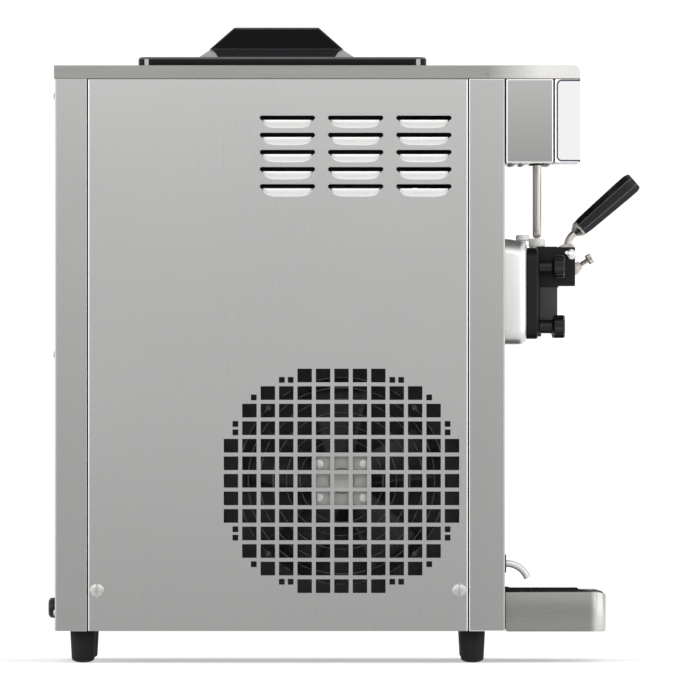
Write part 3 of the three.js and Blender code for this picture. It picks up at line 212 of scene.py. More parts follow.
MATERIALS = {
    # One brushed steel in three tones. The post and housing copies are darker than the panel, which is
    # painted shade, and each darkens towards its foot, which is also painted shade.
    "panel": steel_with_painted_foot_shade("panel_brushed_steel", (0.42, 0.42, 0.415), 0.06, 0.32, 0.86),
    "post": steel_with_painted_foot_shade("post_brushed_steel", (0.385, 0.385, 0.38), 0.06, 0.50, 0.87),
    "housing": steel_with_painted_foot_shade("housing_steel", (0.375, 0.375, 0.37), 0.60, 0.70, 0.76),
    "cover": cover_steel("cover_brushed_steel"),
    # The cover's side skirt, up to 2.4 times brighter towards its front end: a painted highlight.
    "skirt": graded(cover_steel("cover_skirt_painted_highlight"), "Y", ahead(42) * MM, ahead(-20) * MM, 2.4, 1.0),
    "tray": tray_steel_painted_light("tray_brushed_steel"),
    # Near-white steel laid on rounded sheet edges: a painted highlight along the bends.
    "edge": make_material("sheet_edge_painted_highlight", (0.95, 0.95, 0.945), 1.0, 0.38, 300, 0.008, 0.02, 0.004),
    "polished": make_material("polished_steel", (0.68, 0.67, 0.65), 1.0, 0.22, 60, 0.03, 0.02, 0.002,
                              detail=2.0),
    "lever": make_material("cast_lever_steel", (0.50, 0.48, 0.44), 1.0, 0.3, 60, 0.05, 0.02, 0.002,
                           detail=2.0),
    "satin": make_material("satin_drawn_steel", (0.67, 0.67, 0.66), 1.0, 0.38, (200, 200, 12),
                           0.02, 0.04, 0.01),
    "drawn": make_material("drawn_steel", (0.88, 0.88, 0.87), 1.0, 0.42, (240, 240, 14),
                           0.025, 0.05, 0.012),
    "zinc": make_material("zinc_screw", (0.42, 0.42, 0.41), 1.0, 0.36, 250, 0.14, 0.06, 0.02, 0.0002, 4.0),
    # Near-white steel for the louvre scoops, much lighter than the panel they are pressed from: a painted
    # highlight.
    "scoop": make_material("scoop_painted_highlight_steel", (0.94, 0.94, 0.93), 0.6, 0.42, (10, 300, 300),
                           0.015, 0.03, 0.008),
    "galvanised": spangled("galvanised_sheet", (0.36, 0.37, 0.37), 0.5),
    # Near-black fins: painted shade for the dim inside of the cabinet behind the grille.
    "coil": make_material("coil_fins", (0.022, 0.022, 0.023), 0.2, 0.6, (20, 1500, 20), 0.4, 0.1,
                          0.4, 0.0006, 2.0),
    "cast": make_material("cast_alloy", (0.25, 0.25, 0.238), 0.9, 0.42, 350, 0.10, 0.1, 0.3, 0.0005, 5.0),
    "wire": make_material("guard_wire", (0.07, 0.07, 0.07), 1.0, 0.3, 200, 0.2, 0.08, 0.05, 0.0002),
    "foam": plastic("foam_jacket", (0.012, 0.012, 0.013), 0.85, 500, 0.4, 0.06, 0.5, 0.2, 0.0008, 5.0),
    "black": plastic("black_plastic", (0.005, 0.005, 0.006), 0.26, 200, 0.15, 0.02, 0.004, 0.25),
    "lid": plastic("lid_plastic", (0.002, 0.002, 0.0024), 0.13, 500, 0.2, 0.02, 0.003, 0.08),
    "handle": plastic("lid_handle_plastic", (0.002, 0.002, 0.0024), 0.16, 500, 0.2, 0.02, 0.003, 0.08),
    "waist": plastic("lid_waist_plastic", (0.045, 0.046, 0.049), 0.3, 500, 0.1, 0.03, 0.01, 0.3),
    # Lighter grey laid on the bevels of the black lids, handles and grips: a painted highlight along their
    # edges.
    "rim": plastic("edge_highlight_plastic", (0.068, 0.070, 0.074), 0.3, 200, 0.1, 0.02, 0.003, 0.3),
    "grid": plastic("rack_plastic", (0.017, 0.017, 0.017), 0.6, 300, 0.3, 0.05, 0.05, 0.0, 0.0002, 3.0),
    "grip": plastic("grip_plastic", (0.004, 0.004, 0.004), 0.28, 100, 0.2, 0.02, 0.002, 0.25),
    "head": plastic("head_plastic", (0.016, 0.016, 0.017), 0.34, (18, 500, 500), 0.16, 0.05, 0.05, 0.45,
                    0.0002, 3.0),
    "flange": plastic("flange_plastic", (0.004, 0.004, 0.005), 0.4, (18, 500, 500), 0.16, 0.03, 0.01,
                      0.18, 0.0002, 3.0),
    "white": plastic("white_plastic", (0.60, 0.60, 0.598), 0.35, 500, 0.004, 0.04, 0.03),
    "ivory": plastic("ivory_plastic", (0.94, 0.935, 0.91), 0.4, 500, 0.03, 0.05, 0.05, depth=0.0002),
    "cream": plastic("cream_bushing", (0.50, 0.47, 0.40), 0.4, 300, 0.04, 0.03, 0.01),
    # The grey of the lid gussets. It is also laid on the lid corners as painted highlight stripes, and on the
    # drain spout's edges as painted dark reflections.
    "gusset": plastic("grey_gusset", (0.40, 0.40, 0.41), 0.3, 500, 0.06, 0.04, 0.04, depth=0.0002),
    "navy": plastic("gasket_rubber", (0.035, 0.045, 0.07), 0.55, 600, 0.1, 0.05, 0.1, 0.3, 0.0002),
    "glass": plastic("display_film", (0.010, 0.012, 0.016), 0.12, 300, 0.1, 0.02, 0.01, Coat_Weight=0.6),
    "key": plastic("display_key", (0.16, 0.19, 0.24), 0.3, 500, 0.06, 0.04, 0.03),
    "lamp": plastic("display_lamp", (0.16, 0.55, 0.30), 0.2, 500, 0.06, 0.04, 0.03),
    "rubber": plastic("foot_rubber", (0.005, 0.005, 0.005), 0.6, 400, 0.25, 0.06, 0.15, 0.2, 0.0003, 4.0),
    "enamel": plastic("black_enamel", (0.007, 0.007, 0.008), 0.3, 250, 0.1, 0.06, 0.1, 0.35, 0.0003, 3.0),
}


# ---- meshes

def add_object(name, data):
    made = bpy.data.objects.new(name, data)
    bpy.context.scene.collection.objects.link(made)
    return made


def make_object(name, verts, faces, material, sharp=32):
    """A mesh object from points in millimetres, with smooth shading between its sharp edges."""
    mesh = bpy.data.meshes.new(name)
    mesh.from_pydata([tuple(c * MM for c in v) for v in verts], [], faces)
    work = bmesh.new()
    work.from_mesh(mesh)
    bmesh.ops.remove_doubles(work, verts=work.verts, dist=1e-7)
    bmesh.ops.recalc_face_normals(work, faces=work.faces)
    work.to_mesh(mesh)
    work.free()
    mesh.materials.append(MATERIALS[material])
    mesh.shade_smooth()
    mesh.set_sharp_from_angle(angle=radians(sharp))
    return add_object(name, mesh)


def soften(obj, width, segments=3, angle=32, rim=None):
    """Rounds the sharp edges by a radius in millimetres, in a material of their own if rim."""
    edge = obj.modifiers.new("edges", "BEVEL")
    if rim:
        obj.data.materials.append(MATERIALS[rim])
        edge.material = len(obj.data.materials) - 1
    edge.width = width * MM
    edge.segments = segments
    edge.limit_method = "ANGLE"
    edge.angle_limit = radians(angle)
    edge.harden_normals = True
    return obj


def even_shading(obj):
    """Keeps large flat faces flat beside their small rounded edges."""
    weigh = obj.modifiers.new("normals", "WEIGHTED_NORMAL")
    weigh.mode = "FACE_AREA"
    weigh.weight = 50
    weigh.keep_sharp = True
    return obj


def repaint(obj, material, chosen):
    """Another material for the faces that chosen(centre in millimetres, normal) picks."""
    obj.data.materials.append(MATERIALS[material])
    for polygon in obj.data.polygons:
        if chosen(polygon.center / MM, polygon.normal):
            polygon.material_index = len(obj.data.materials) - 1
    return obj


def bake(obj):
    """Makes the modifiers part of the mesh."""
    graph = bpy.context.evaluated_depsgraph_get()
    old = obj.data
    obj.data = bpy.data.meshes.new_from_object(obj.evaluated_get(graph))
    obj.modifiers.clear()
    bpy.data.meshes.remove(old)
    return obj


def cut(obj, *tools):
    """Takes the tools away from obj and deletes them."""
    for tool in tools:
        hole = obj.modifiers.new("cut", "BOOLEAN")
        hole.solver = "EXACT"
        hole.operation = "DIFFERENCE"
        hole.object = tool
    bpy.context.view_layer.update()
    bake(obj)
    for tool in tools:
        bpy.data.objects.remove(tool)
    return obj


def fuse(name, parts):
    """One object from several, keeping each one's materials."""
    work = bmesh.new()
    slots = []
    graph = bpy.context.evaluated_depsgraph_get()
    for obj in parts:
        mesh = bpy.data.meshes.new_from_object(obj.evaluated_get(graph))
        mesh.transform(obj.matrix_world)
        base = []
        for material in mesh.materials:
            if material not in slots:
                slots.append(material)
            base.append(slots.index(material))
        for polygon in mesh.polygons:
            polygon.material_index = base[polygon.material_index]
        work.from_mesh(mesh)
        bpy.data.meshes.remove(mesh)
        bpy.data.objects.remove(obj)
    mesh = bpy.data.meshes.new(name)
    work.to_mesh(mesh)
    work.free()
    for material in slots:
        mesh.materials.append(material)
    return even_shading(add_object(name, mesh))


def piece(obj, slot, *nodes, body="machine"):
    """Hangs obj on the empty of the body that it rides on, and hides the CAD nodes that it stands for. slot,
    its finish, is not used.
    """
    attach(obj, body)
    if nodes:
        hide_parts(*nodes)
    return obj


def quads(rows, columns, start=0):
    """Faces between the points of a grid, which has one more point than faces along each way."""
    corners = [start + r * (columns + 1) + c for r in range(rows) for c in range(columns)]
    return [(a, a + 1, a + columns + 2, a + columns + 1) for a in corners]


def ring_mesh(rings, loop=False, start=0):
    """Vertices and faces through rings of equally many points: open with end faces, or a loop."""
    count = len(rings[0])
    verts = [p for ring in rings for p in ring]
    faces = []
    for i in range(len(rings) if loop else len(rings) - 1):
        a, b = start + i * count, start + (i + 1) % len(rings) * count
        faces += [(a + j, a + (j + 1) % count, b + (j + 1) % count, b + j) for j in range(count)]
    if not loop:
        end = start + len(verts)
        faces += [tuple(reversed(range(start, start + count))), tuple(range(end - count, end))]
    return verts, faces


def loft(name, rings, material, loop=False, sharp=32):
    verts, faces = ring_mesh(rings, loop)
    return make_object(name, verts, faces, material, sharp)


def frame_of(axis):
    """Two directions square to an axis, and the axis itself, as unit vectors."""
    along = Vector(axis).normalized()
    guide = Vector(UP) if abs(along.z) < 0.9 else Vector(RIGHT)
    side = guide.cross(along).normalized()
    return side, along.cross(side), along


def lathe(name, profile, material, origin=(0, 0, 0), axis=UP, sides=48, loop=False,
          wave=None, sharp=32):
    """A turned piece: (radius, distance) pairs. wave(angle, distance) scales the radius."""
    u, v, w = frame_of(axis)
    start = Vector(origin)
    rings = []
    for radius, along in profile:
        ring = []
        for i in range(sides):
            a = 2 * pi * i / sides
            r = max(radius, 0.01) * (wave(a, along) if wave else 1)
            ring.append(start + u * (r * cos(a)) + v * (r * sin(a)) + w * along)
        rings.append(ring)
    return loft(name, rings, material, loop, sharp)


def arc(cx, cy, radius, start, end, steps):
    """Points on an arc, angles in degrees."""
    angles = (radians(start + (end - start) * i / steps) for i in range(steps + 1))
    return [(cx + radius * cos(a), cy + radius * sin(a)) for a in angles]


def rounded(u0, u1, v0, v1, radius, steps=8):
    """A rectangle with round corners."""
    left, right, low, high = u0 + radius, u1 - radius, v0 + radius, v1 - radius
    corners = ((right, low, -90), (right, high, 0), (left, high, 90), (left, low, 180))
    return [p for u, v, turn in corners for p in arc(u, v, radius, turn, turn + 90, steps)]


def circle(cu, cv, radius, steps=32):
    return arc(cu, cv, radius, 0, 360, steps)[:-1]


PLANES = {
    "x": lambda u, v, t: (t, u, v),
    "y": lambda u, v, t: (u, t, v),
    "z": lambda u, v, t: (u, v, t),
}


def prism(name, outline, axis, start, end, material, sharp=32):
    """An outline pushed along an axis: (y, z) along x, (x, z) along y, (x, y) along z."""
    to3d = PLANES[axis]
    rings = [[to3d(u, v, t) for u, v in outline] for t in (start, end)]
    return loft(name, rings, material, sharp=sharp)


def span(side, near, far):
    """The stretch of X between two distances from the middle, on one side."""
    return sorted((side * near, side * far))


def block(name, xs, ys, zs, material):
    outline = [(xs[0], ys[0]), (xs[1], ys[0]), (xs[1], ys[1]), (xs[0], ys[1])]
    return prism(name, outline, "z", *zs, material)


def area_of(points):
    return sum(a[0] * b[1] - b[0] * a[1] for a, b in zip(points, points[1:] + points[:1])) / 2


def shifted(points, distance):
    """The loop moved into the material, which lies on the left of its direction."""
    out = []
    count = len(points)
    for i in range(count):
        p, q, r = Vector(points[i - 1]), Vector(points[i]), Vector(points[(i + 1) % count])
        a, b = (q - p).normalized(), (r - q).normalized()
        na, nb = Vector((-a.y, a.x)), Vector((-b.y, b.x))
        move = (na + nb) / max(0.35, 1 + na.dot(nb))
        out.append(tuple(q + move * distance))
    return out


def sheet_plate(name, outer, holes, axis, face, back, material, edge=0.6, hole_edge=0.3, steps=3):
    """A flat sheet with holes. Its show side is at face, where the edges are rounded."""
    to3d = PLANES[axis]
    away = 1 if back > face else -1
    loops = [outer if area_of(outer) > 0 else outer[::-1]]
    loops += [h if area_of(h) < 0 else h[::-1] for h in holes]
    verts, faces, fronts, backs = [], [], [], []
    for index, loop in enumerate(loops):
        radius = edge if index == 0 else hole_edge
        rings = []
        for k in range(steps + 1):
            angle = pi / 2 * k / steps
            inset, depth = radius * (1 - sin(angle)), radius * (1 - cos(angle))
            rings.append((shifted(loop, inset), face + away * depth))
        rings.append((loop, back))
        start = len(verts)
        walls = ring_mesh([[to3d(u, v, level) for u, v in points] for points, level in rings],
                          start=start)
        verts += walls[0]
        faces += walls[1][:-2]
        fronts.append((rings[0][0], start))
        backs.append((loop, len(verts) - len(loop)))
    for side in (fronts, backs):
        flat = [[Vector((u, v, 0)) for u, v in points] for points, _ in side]
        lookup = [start + j for points, start in side for j in range(len(points))]
        for tri in tessellate_polygon(flat):
            faces.append(tuple(lookup[i] for i in tri))
    return even_shading(make_object(name, verts, faces, material))


def path_rings(points, radius, sides):
    """Circles along a path, which lies in a plane square to X."""
    path = [Vector(p) for p in points]
    side = Vector(RIGHT)
    rings = []
    for i, p in enumerate(path):
        along = (path[min(i + 1, len(path) - 1)] - path[max(i - 1, 0)]).normalized()
        up = along.cross(side).normalized()
        rings.append([p + side * u + up * v for u, v in circle(0, 0, radius, sides)])
    return rings


# ---- cabinet panels

LOUVRE_LENGTH, LOUVRE_SLOT, LOUVRE_PITCH, LOUVRE_TOP = 66.5, 5.4, 20.57, 654
SCOOP_HALF, SCOOP_DROP, SCOOP_DEPTH = 29.0, 9.6, 7.0
GRILLE_ROWS = (5, 9, 11, 11, 13, 13, 13, 13, 13, 11, 11, 9, 5)
CELL_Y, CELL_Z, HOLE_Y, HOLE_Z, SMALL, SMALL_PITCH = 22.1, 21.06, 17.4, 16.4, 6.9, 10.6
FAN_Y, FAN_Z, FAN_WHEEL_X = ahead(-196.2), 218.4, -199


def louvre_places(top, rows=5):
    return [(ahead(-97.3 - 81.9 * c), top - LOUVRE_PITCH * r) for c in range(3) for r in range(rows)]


def drop(u):
    """How far the pressed scoop reaches down at a distance u from its middle, from 0 to 1."""
    return max(0.0, 1 - abs(u / SCOOP_HALF) ** 4.5) ** (1 / 2.6)


def scoop_steps():
    return [SCOOP_HALF * sin(pi / 2 * i / 14) for i in range(-14, 15)]


def stadium(y, z, length, height, steps=8):
    reach = (length - height) / 2
    return (arc(y + reach, z, height / 2, -90, 90, steps)
            + arc(y - reach, z, height / 2, 90, 270, steps))


def louvre_hole(y, z):
    """The slot and the scoop under it as one opening."""
    low = z - LOUVRE_SLOT / 2
    slot = stadium(y, z, LOUVRE_LENGTH, LOUVRE_SLOT)
    scoop = [(y + u, low - SCOOP_DROP * drop(u)) for u in scoop_steps()]
    return slot + scoop[1:-1]


def scoop_patch(y, z, side):
    """The strip of sheet that leans inwards under a slot, as a curved grid with thickness."""
    low = z - LOUVRE_SLOT / 2
    rows, thick = 8, 1.2

    def point(u, t, layer):
        reach = drop(u)
        foot = low - SCOOP_DROP * reach - 0.5 * (1 - t)
        depth = 0.35 + SCOOP_DEPTH * reach * (0.25 * t + 0.75 * sin(t * pi / 2)) + layer
        return (side * (HALF - depth), y + u, foot + (low + 0.25 - foot) * t)

    return [[[point(u, v / rows, layer) for u in scoop_steps()] for v in range(rows + 1)]
            for layer in (0.0, thick)]


def scoops(name, places, side):
    verts, faces = [], []
    for y, z in places:
        grids = scoop_patch(y, z, side)
        rows, columns = len(grids[0]), len(grids[0][0])
        start, layer = len(verts), rows * columns
        for grid in grids:
            faces += quads(rows - 1, columns - 1, len(verts))
            verts += [p for line in grid for p in line]
        for r in (0, rows - 1):
            rim = [start + r * columns + c for c in range(columns)]
            faces += [(a, b, b + layer, a + layer) for a, b in zip(rim, rim[1:])]
        for c in (0, columns - 1):
            rim = [start + r * columns + c for r in range(rows)]
            faces += [(a, b, b + layer, a + layer) for a, b in zip(rim, rim[1:])]
    # The scoops take the near-white scoop steel, which is a painted highlight.
    return make_object(name, verts, faces, "scoop", 60)


def square(y, z, width, height):
    return [(y - width / 2, z - height / 2), (y + width / 2, z - height / 2),
            (y + width / 2, z + height / 2), (y - width / 2, z + height / 2)]


def grille_holes():
    holes = []
    middle = (len(GRILLE_ROWS) - 1) / 2
    for row, count in enumerate(GRILLE_ROWS):
        for i in range(count):
            y = FAN_Y + (i - (count - 1) / 2) * CELL_Y
            holes.append(square(y, FAN_Z + (row - middle) * CELL_Z, HOLE_Y, HOLE_Z))
    step = SMALL_PITCH / CELL_Y
    corner = (HOLE_Y - SMALL) / 2
    for side in (-1, 1):
        for end in (-1, 1):
            lean = end * corner / CELL_Z
            inward = side * corner / CELL_Y
            for u, v in (
                (side * (3 - step / 2), end * 6 - lean),
                (side * (3 + step / 2), end * 6 - lean),
                (side * 5 - inward, end * 5 - lean),
                (side * 6 - inward, end * (3 - step / 2)),
                (side * 6 - inward, end * (3 + step / 2)),
            ):
                holes.append(square(FAN_Y + u * CELL_Y, FAN_Z + v * CELL_Z, SMALL, SMALL))
    return holes


def screw_head(name, y, z, side, radius=8.7, height=2.0, slot=2.0):
    """A slotted mushroom head standing on a side panel."""
    outward = (side, 0, 0)
    dome = [(u, 0.35 + v * (height - 0.35) / radius) for u, v in arc(0, 0, radius, 12, 84, 6)]
    profile = [(0, -0.4), (radius, -0.4), (radius, 0.35)] + dome
    head = lathe(name, profile, "zinc", (side * HALF, y, z), outward, 40)
    groove = block(name + "_groove", span(side, HALF + 0.25, HALF + height + 2), (y - slot / 2, y + slot / 2),
                   (z - radius - 1, z + radius + 1), "zinc")
    return soften(cut(head, groove), 0.12, 1)


def cross_screw(name, profile, material, place, outward, arm, half_width, start):
    """A screw with a cross recess, whose floor lies at start along the screw's axis."""
    head = lathe(name, profile, material, place, outward, 28)
    tools = []
    for u, v in ((arm, half_width), (half_width, arm)):
        spans = []
        for at, way, reach in zip(place, outward, (u, u, v)):
            ends = (at + way * start, at + way * 4) if way else (at - reach, at + reach)
            spans.append(sorted(ends))
        tools.append(block("cross", *spans, "zinc"))
    return cut(head, *tools)


def side_panels():
    ends = (ahead(-44.7), REAR - 41.3)
    outline = [(ends[1], BOTTOM), (ends[0], BOTTOM), (ends[0], PANEL_TOP), (ends[1], PANEL_TOP)]
    louvres = louvre_places(LOUVRE_TOP)
    lower = [stadium(y, z, LOUVRE_LENGTH, LOUVRE_SLOT)
             for y, z in louvre_places(FAN_Z + 2 * LOUVRE_PITCH)]
    for side, name in SIDES:
        holes = [louvre_hole(y, z) for y, z in louvres]
        holes += grille_holes() if side < 0 else lower
        panel = sheet_plate(name + "_side_sheet", outline, holes, "x", side * HALF,
                            side * (HALF - 2.2), "panel", edge=1.1, hole_edge=0.25, steps=5)
        # The rounded edges at both ends of the sheet take the near-white edge steel: a painted highlight.
        repaint(panel, "edge", lambda at, n: 0.05 < abs(n.x) < 0.999
                and min(abs(at.y - end) for end in ends) < 1.4)
        piece(panel, "panel_steel", name + "_side_panel")
        piece(scoops(name + "_louvre_scoops", louvres, side), "panel_steel")
        folds = []
        for y, inward in ((ends[0], 1), (ends[1], -1)):
            ys = sorted((y, y + inward * 1.5))
            folds.append(block(name + "_fold", span(side, HALF - 2.1, HALF - 10.5), ys,
                               (BOTTOM + 15, PANEL_TOP), "panel"))
        piece(fuse(name + "_side_folds", folds), "panel_steel")
        for end, behind in (("front", 54.8), ("rear", 489.8)):
            head = screw_head(f"{name}_screw_{end}", ahead(-behind), 87.0, side)
            piece(head, "polished_steel")


def bent_sheet(name, face, inward, depth, flat=True):
    """A panel that turns round both cabinet corners, as an outline in plan pushed upwards."""
    radius, thick = 2.2, 1.5

    def wall(bend):
        corner = arc(HALF - radius, 0, bend, 0, 90, 6)
        return [(x, face + inward * (radius - y)) for x, y in corner]

    outer = [(HALF, face + inward * depth)] + wall(radius)
    inner = [(HALF - thick, face + inward * depth)] + wall(radius - thick)
    if flat:
        across = outer + [(-x, y) for x, y in reversed(outer)]
        outline = across + [(-x, y) for x, y in inner] + inner[::-1]
        # The rounded edges take the near-white edge steel: a painted highlight.
        return soften(prism(name, outline, "z", BOTTOM, PANEL_TOP, "post"), 0.7, 2, rim="edge")
    parts = []
    for side in (-1, 1):
        outline = [(side * x, y) for x, y in outer + inner[::-1]]
        wrap = prism(name + "_wrap", outline, "z", BOTTOM, PANEL_TOP, "post")
        # The rounded edges take the near-white edge steel: a painted highlight.
        parts.append(soften(wrap, 0.7, 2, 60, "edge"))
    return fuse(name, parts)


def shade_strips_and_block():
    """Dark strips behind the seams and in the gaps round the housing, and a dark block in the space ahead of
    the hoppers. All are painted shade, so that the seams, gaps and slots read dark.
    """
    for side, name in SIDES:
        seam_pieces = []
        for y in (ahead(-43.8), REAR - 40.4):
            for half, near, far, end in ((3.2, 2.4, 4.4, 2), (0.8, 1.0, 2.5, 0.3)):
                seam_pieces.append(block("seam_dark_strip", span(side, HALF - near, HALF - far), (y - half, y + half),
                                   (BOTTOM + end, PANEL_TOP - end), "foam"))
        piece(fuse("seam_shade_" + name, seam_pieces), "rubber")
    # A dark block behind the louvres so that the slots read black: painted shade.
    dark_block = block("front_shade_block", (-198, 198), (ahead(-16), ahead(-104)), (552, 694), "foam")
    piece(soften(dark_block, 3, 3), "rubber")
    strips = [block("gap_dark_strip", (-269.0, 269.0), (ahead(far), ahead(near)), (602, 699.6), "foam")
              for far, near in ((60.1, 57.9), (1.7, 0.5))]
    piece(fuse("housing_gap_shade", strips), "rubber")


def end_panels():
    piece(bent_sheet("front_sheet", FRONT, 1, 42.9), "panel_steel", "front_panel")
    back = REAR - 1.2   # the cover overhangs the rear panel by 1.2
    wraps = bent_sheet("rear_wraps", back, -1, 38.3, flat=False)
    flat = HALF - 2.2
    vents = [stadium(x, 130 + 24 * row, 120, 7) for x in (-85, 85) for row in range(8)]
    vents.append(circle(GLAND_X, GLAND_Z, 8.6))
    outline = [(-flat, BOTTOM), (flat, BOTTOM), (flat, PANEL_TOP), (-flat, PANEL_TOP)]
    sheet = sheet_plate("rear_sheet", outline, vents, "y", back, back - 1.5, "post", 0.0, 0.35)
    piece(fuse("rear_panel_sheet", [sheet, wraps]), "panel_steel", "rear_panel")
    profile = [(0, -0.3), (4.0, -0.3), (4.0, 0.3), (3.4, 1.2), (2.0, 1.8), (0, 2.0)]
    for x in (-250, 0, 250):
        for z in (60, 370, 680):
            screw = cross_screw(f"rear_screw_{x + 250}_{z}", profile, "zinc", (x, back, z), BACKWARD,
                                2.0, 0.4, 1.0)
            piece(screw, "polished_steel")


# ---- cover, housing, display

def hopper_outline(grow, x):
    across, along = 89 + grow, 156 + grow     # half the width and half the length
    return rounded(x - across, x + across, HOPPER_Y - along, HOPPER_Y + along, 20 + grow, 10)


def top_cover():
    front = ahead(91)
    nose = arc(front + 9, COVER_TOP - 9, 9, 90, 180, 10)
    outline = [(REAR, COVER_BOTTOM), (REAR, COVER_TOP)] + nose + [(front, COVER_BOTTOM)]
    cover = prism("cover_sheet", outline, "x", -HALF, HALF, "cover")
    cut(cover, *(prism("opening", hopper_outline(2, side * HOPPER_X), "z", 690, 730, "cover")
                 for side, _ in SIDES))
    # The side faces take the skirt steel, which has a painted highlight towards the front.
    repaint(cover, "skirt", lambda at, n: abs(n.x) > 0.9 and abs(at.x) > HALF - 1)
    soften(cover, 0.8, 3)
    piece(cover, "cover_steel", "top_cover")
    profile = [(0, -0.4), (3.4, -0.4), (3.4, 0.3), (2.9, 0.8), (1.8, 1.0), (0, 1.0)]
    for side, name in SIDES:
        screw = cross_screw("cover_screw_" + name, profile, "cover", (side * HALF, ahead(-21), 709),
                            (side, 0, 0), 2.2, 0.55, 0.1)
        piece(screw, "polished_steel")


def housing():
    """The steel box ahead of the cabinet, bent with round edges, open at the top and the back."""
    depth = (ahead(58.0), ahead(1.6))
    box = block("housing_box", (-HALF, HALF), depth, (HOUSING_FLOOR, PANEL_TOP), "housing")
    soften(box, 1.3, 4)
    bpy.context.view_layer.update()
    bake(box)
    wall = 1.6
    tools = [block("hollow", (wall - HALF, HALF - wall), (depth[0] + wall, depth[1] + 4),
                   (HOUSING_FLOOR + wall, PANEL_TOP + 4), "housing")]
    hole = [(0, 590), (5.75, 590), (5.75, 610), (0, 610)]
    tools += [lathe("rod_hole", hole, "housing", (x, VALVE_Y, 0), UP, 32) for _, x in FLAVOURS]
    cut(box, *tools)
    # The rounded side edges take the near-white edge steel: a painted highlight.
    repaint(box, "edge", lambda at, n: 0.12 < abs(n.x) < 0.999 and abs(at.x) > HALF - 1.4)
    piece(box, "panel_steel", "front_housing")
    places = [(x, s, r) for x in (-250, -150, 0, 150, 250) for s, r in ((9, 4.4), (21, 3.6), (51, 5.2))]
    for index, (x, s, radius) in enumerate(places):
        profile = [(0, 0.3), (radius, 0.3), (radius, -0.7), (radius * 0.85, -1.6),
                   (radius * 0.5, -2.3), (0, -2.5)]
        rivet = lathe(f"housing_rivet_{index}", profile, "zinc", (x, ahead(s), HOUSING_FLOOR), UP, 28)
        piece(rivet, "polished_steel")
    for _, x in FLAVOURS:
        profile = [(5.9, 0.4), (9.5, 0.4), (9.5, -1.2), (8.8, -1.8), (6.4, -1.8), (5.9, -1.2)]
        bush = lathe("rod_bush", profile, "black", (x, VALVE_Y, HOUSING_FLOOR), UP, 40, loop=True)
        piece(bush, "black_plastic")


def side_view(s0, s1, z0, z1, radius, steps=8):
    """A rectangle seen from the side with only its two rear corners rounded."""
    y0, y1 = ahead(s1), ahead(s0)
    return ([(y0, z0)] + arc(y1 - radius, z0 + radius, radius, -90, 0, steps)
            + arc(y1 - radius, z1 - radius, radius, 0, 90, steps) + [(y0, z1)])


def display():
    carrier = prism("display_carrier", side_view(60.0, 88.5, 600.4, 700.6, 1.0, 2), "x", -269.3, 269.3,
                    "drawn")
    soften(carrier, 0.6, 2)
    piece(carrier, "panel_steel")
    cover = prism("display_moulding", side_view(63.5, 90.5, 603.4, 698.2, 4.6), "x", -HALF, HALF,
                  "white")
    window = prism("window", rounded(-150.3, 150.3, 617.7, 684.3, 5.2), "y", ahead(92), ahead(89.1),
                   "white")
    soften(cut(cover, window), 0.9, 3)
    piece(cover, "white_plastic", "display_cover")
    outer = side_view(61.8, 90.4, 601.6, 700.0, 6.2)
    gasket = prism("display_gasket", outer, "x", -269.7, 269.7, "navy")
    piece(soften(gasket, 0.4, 2), "black_plastic")
    front = ahead(91)
    film = sheet_plate("display_film", rounded(-150, 150, 618, 684, 5), [], "y", front, front + 1.4,
                       "glass", 0.3)
    piece(film, "display_plastic", "display_panel")
    bezel = sheet_plate("display_window", rounded(-46, 46, 636, 674, 3), [], "y", front - 0.25,
                        front + 0.2, "key", 0.15)
    piece(bezel, "display_plastic")
    for index, x in enumerate((-128, -100, -72, 72, 100, 128)):
        profile = [(0, -0.3), (9.5, -0.3), (9.5, 0.15), (8.6, 0.4), (5, 0.55), (0, 0.6)]
        key = lathe(f"display_key_{index}", profile, "key", (x, front, 651), FORWARD, 36)
        piece(key, "display_plastic")
        profile = [(0, -0.2), (1.5, -0.2), (1.5, 0.1), (0.8, 0.35), (0, 0.4)]
        lamp = lathe(f"display_lamp_{index}", profile, "lamp", (x, front, 667), FORWARD, 20)
        piece(lamp, "display_plastic")


# ---- lids and hoppers

def rect_ring(x, inset, z):
    across, along, corner = 104 - inset, 173.2 - inset, max(1.0, 18 - inset)
    return [(u, v, z) for u, v in rounded(x - across, x + across, HOPPER_Y - along, HOPPER_Y + along,
                                          corner, 10)]


HANDLE_Y = 82.0


def handle_ring(x, z, half_width, half_length, corner=5.0):
    return [(a, b, z) for a, b in rounded(x - half_width, x + half_width, HANDLE_Y - half_length,
                                          HANDLE_Y + half_length, corner, 6)]


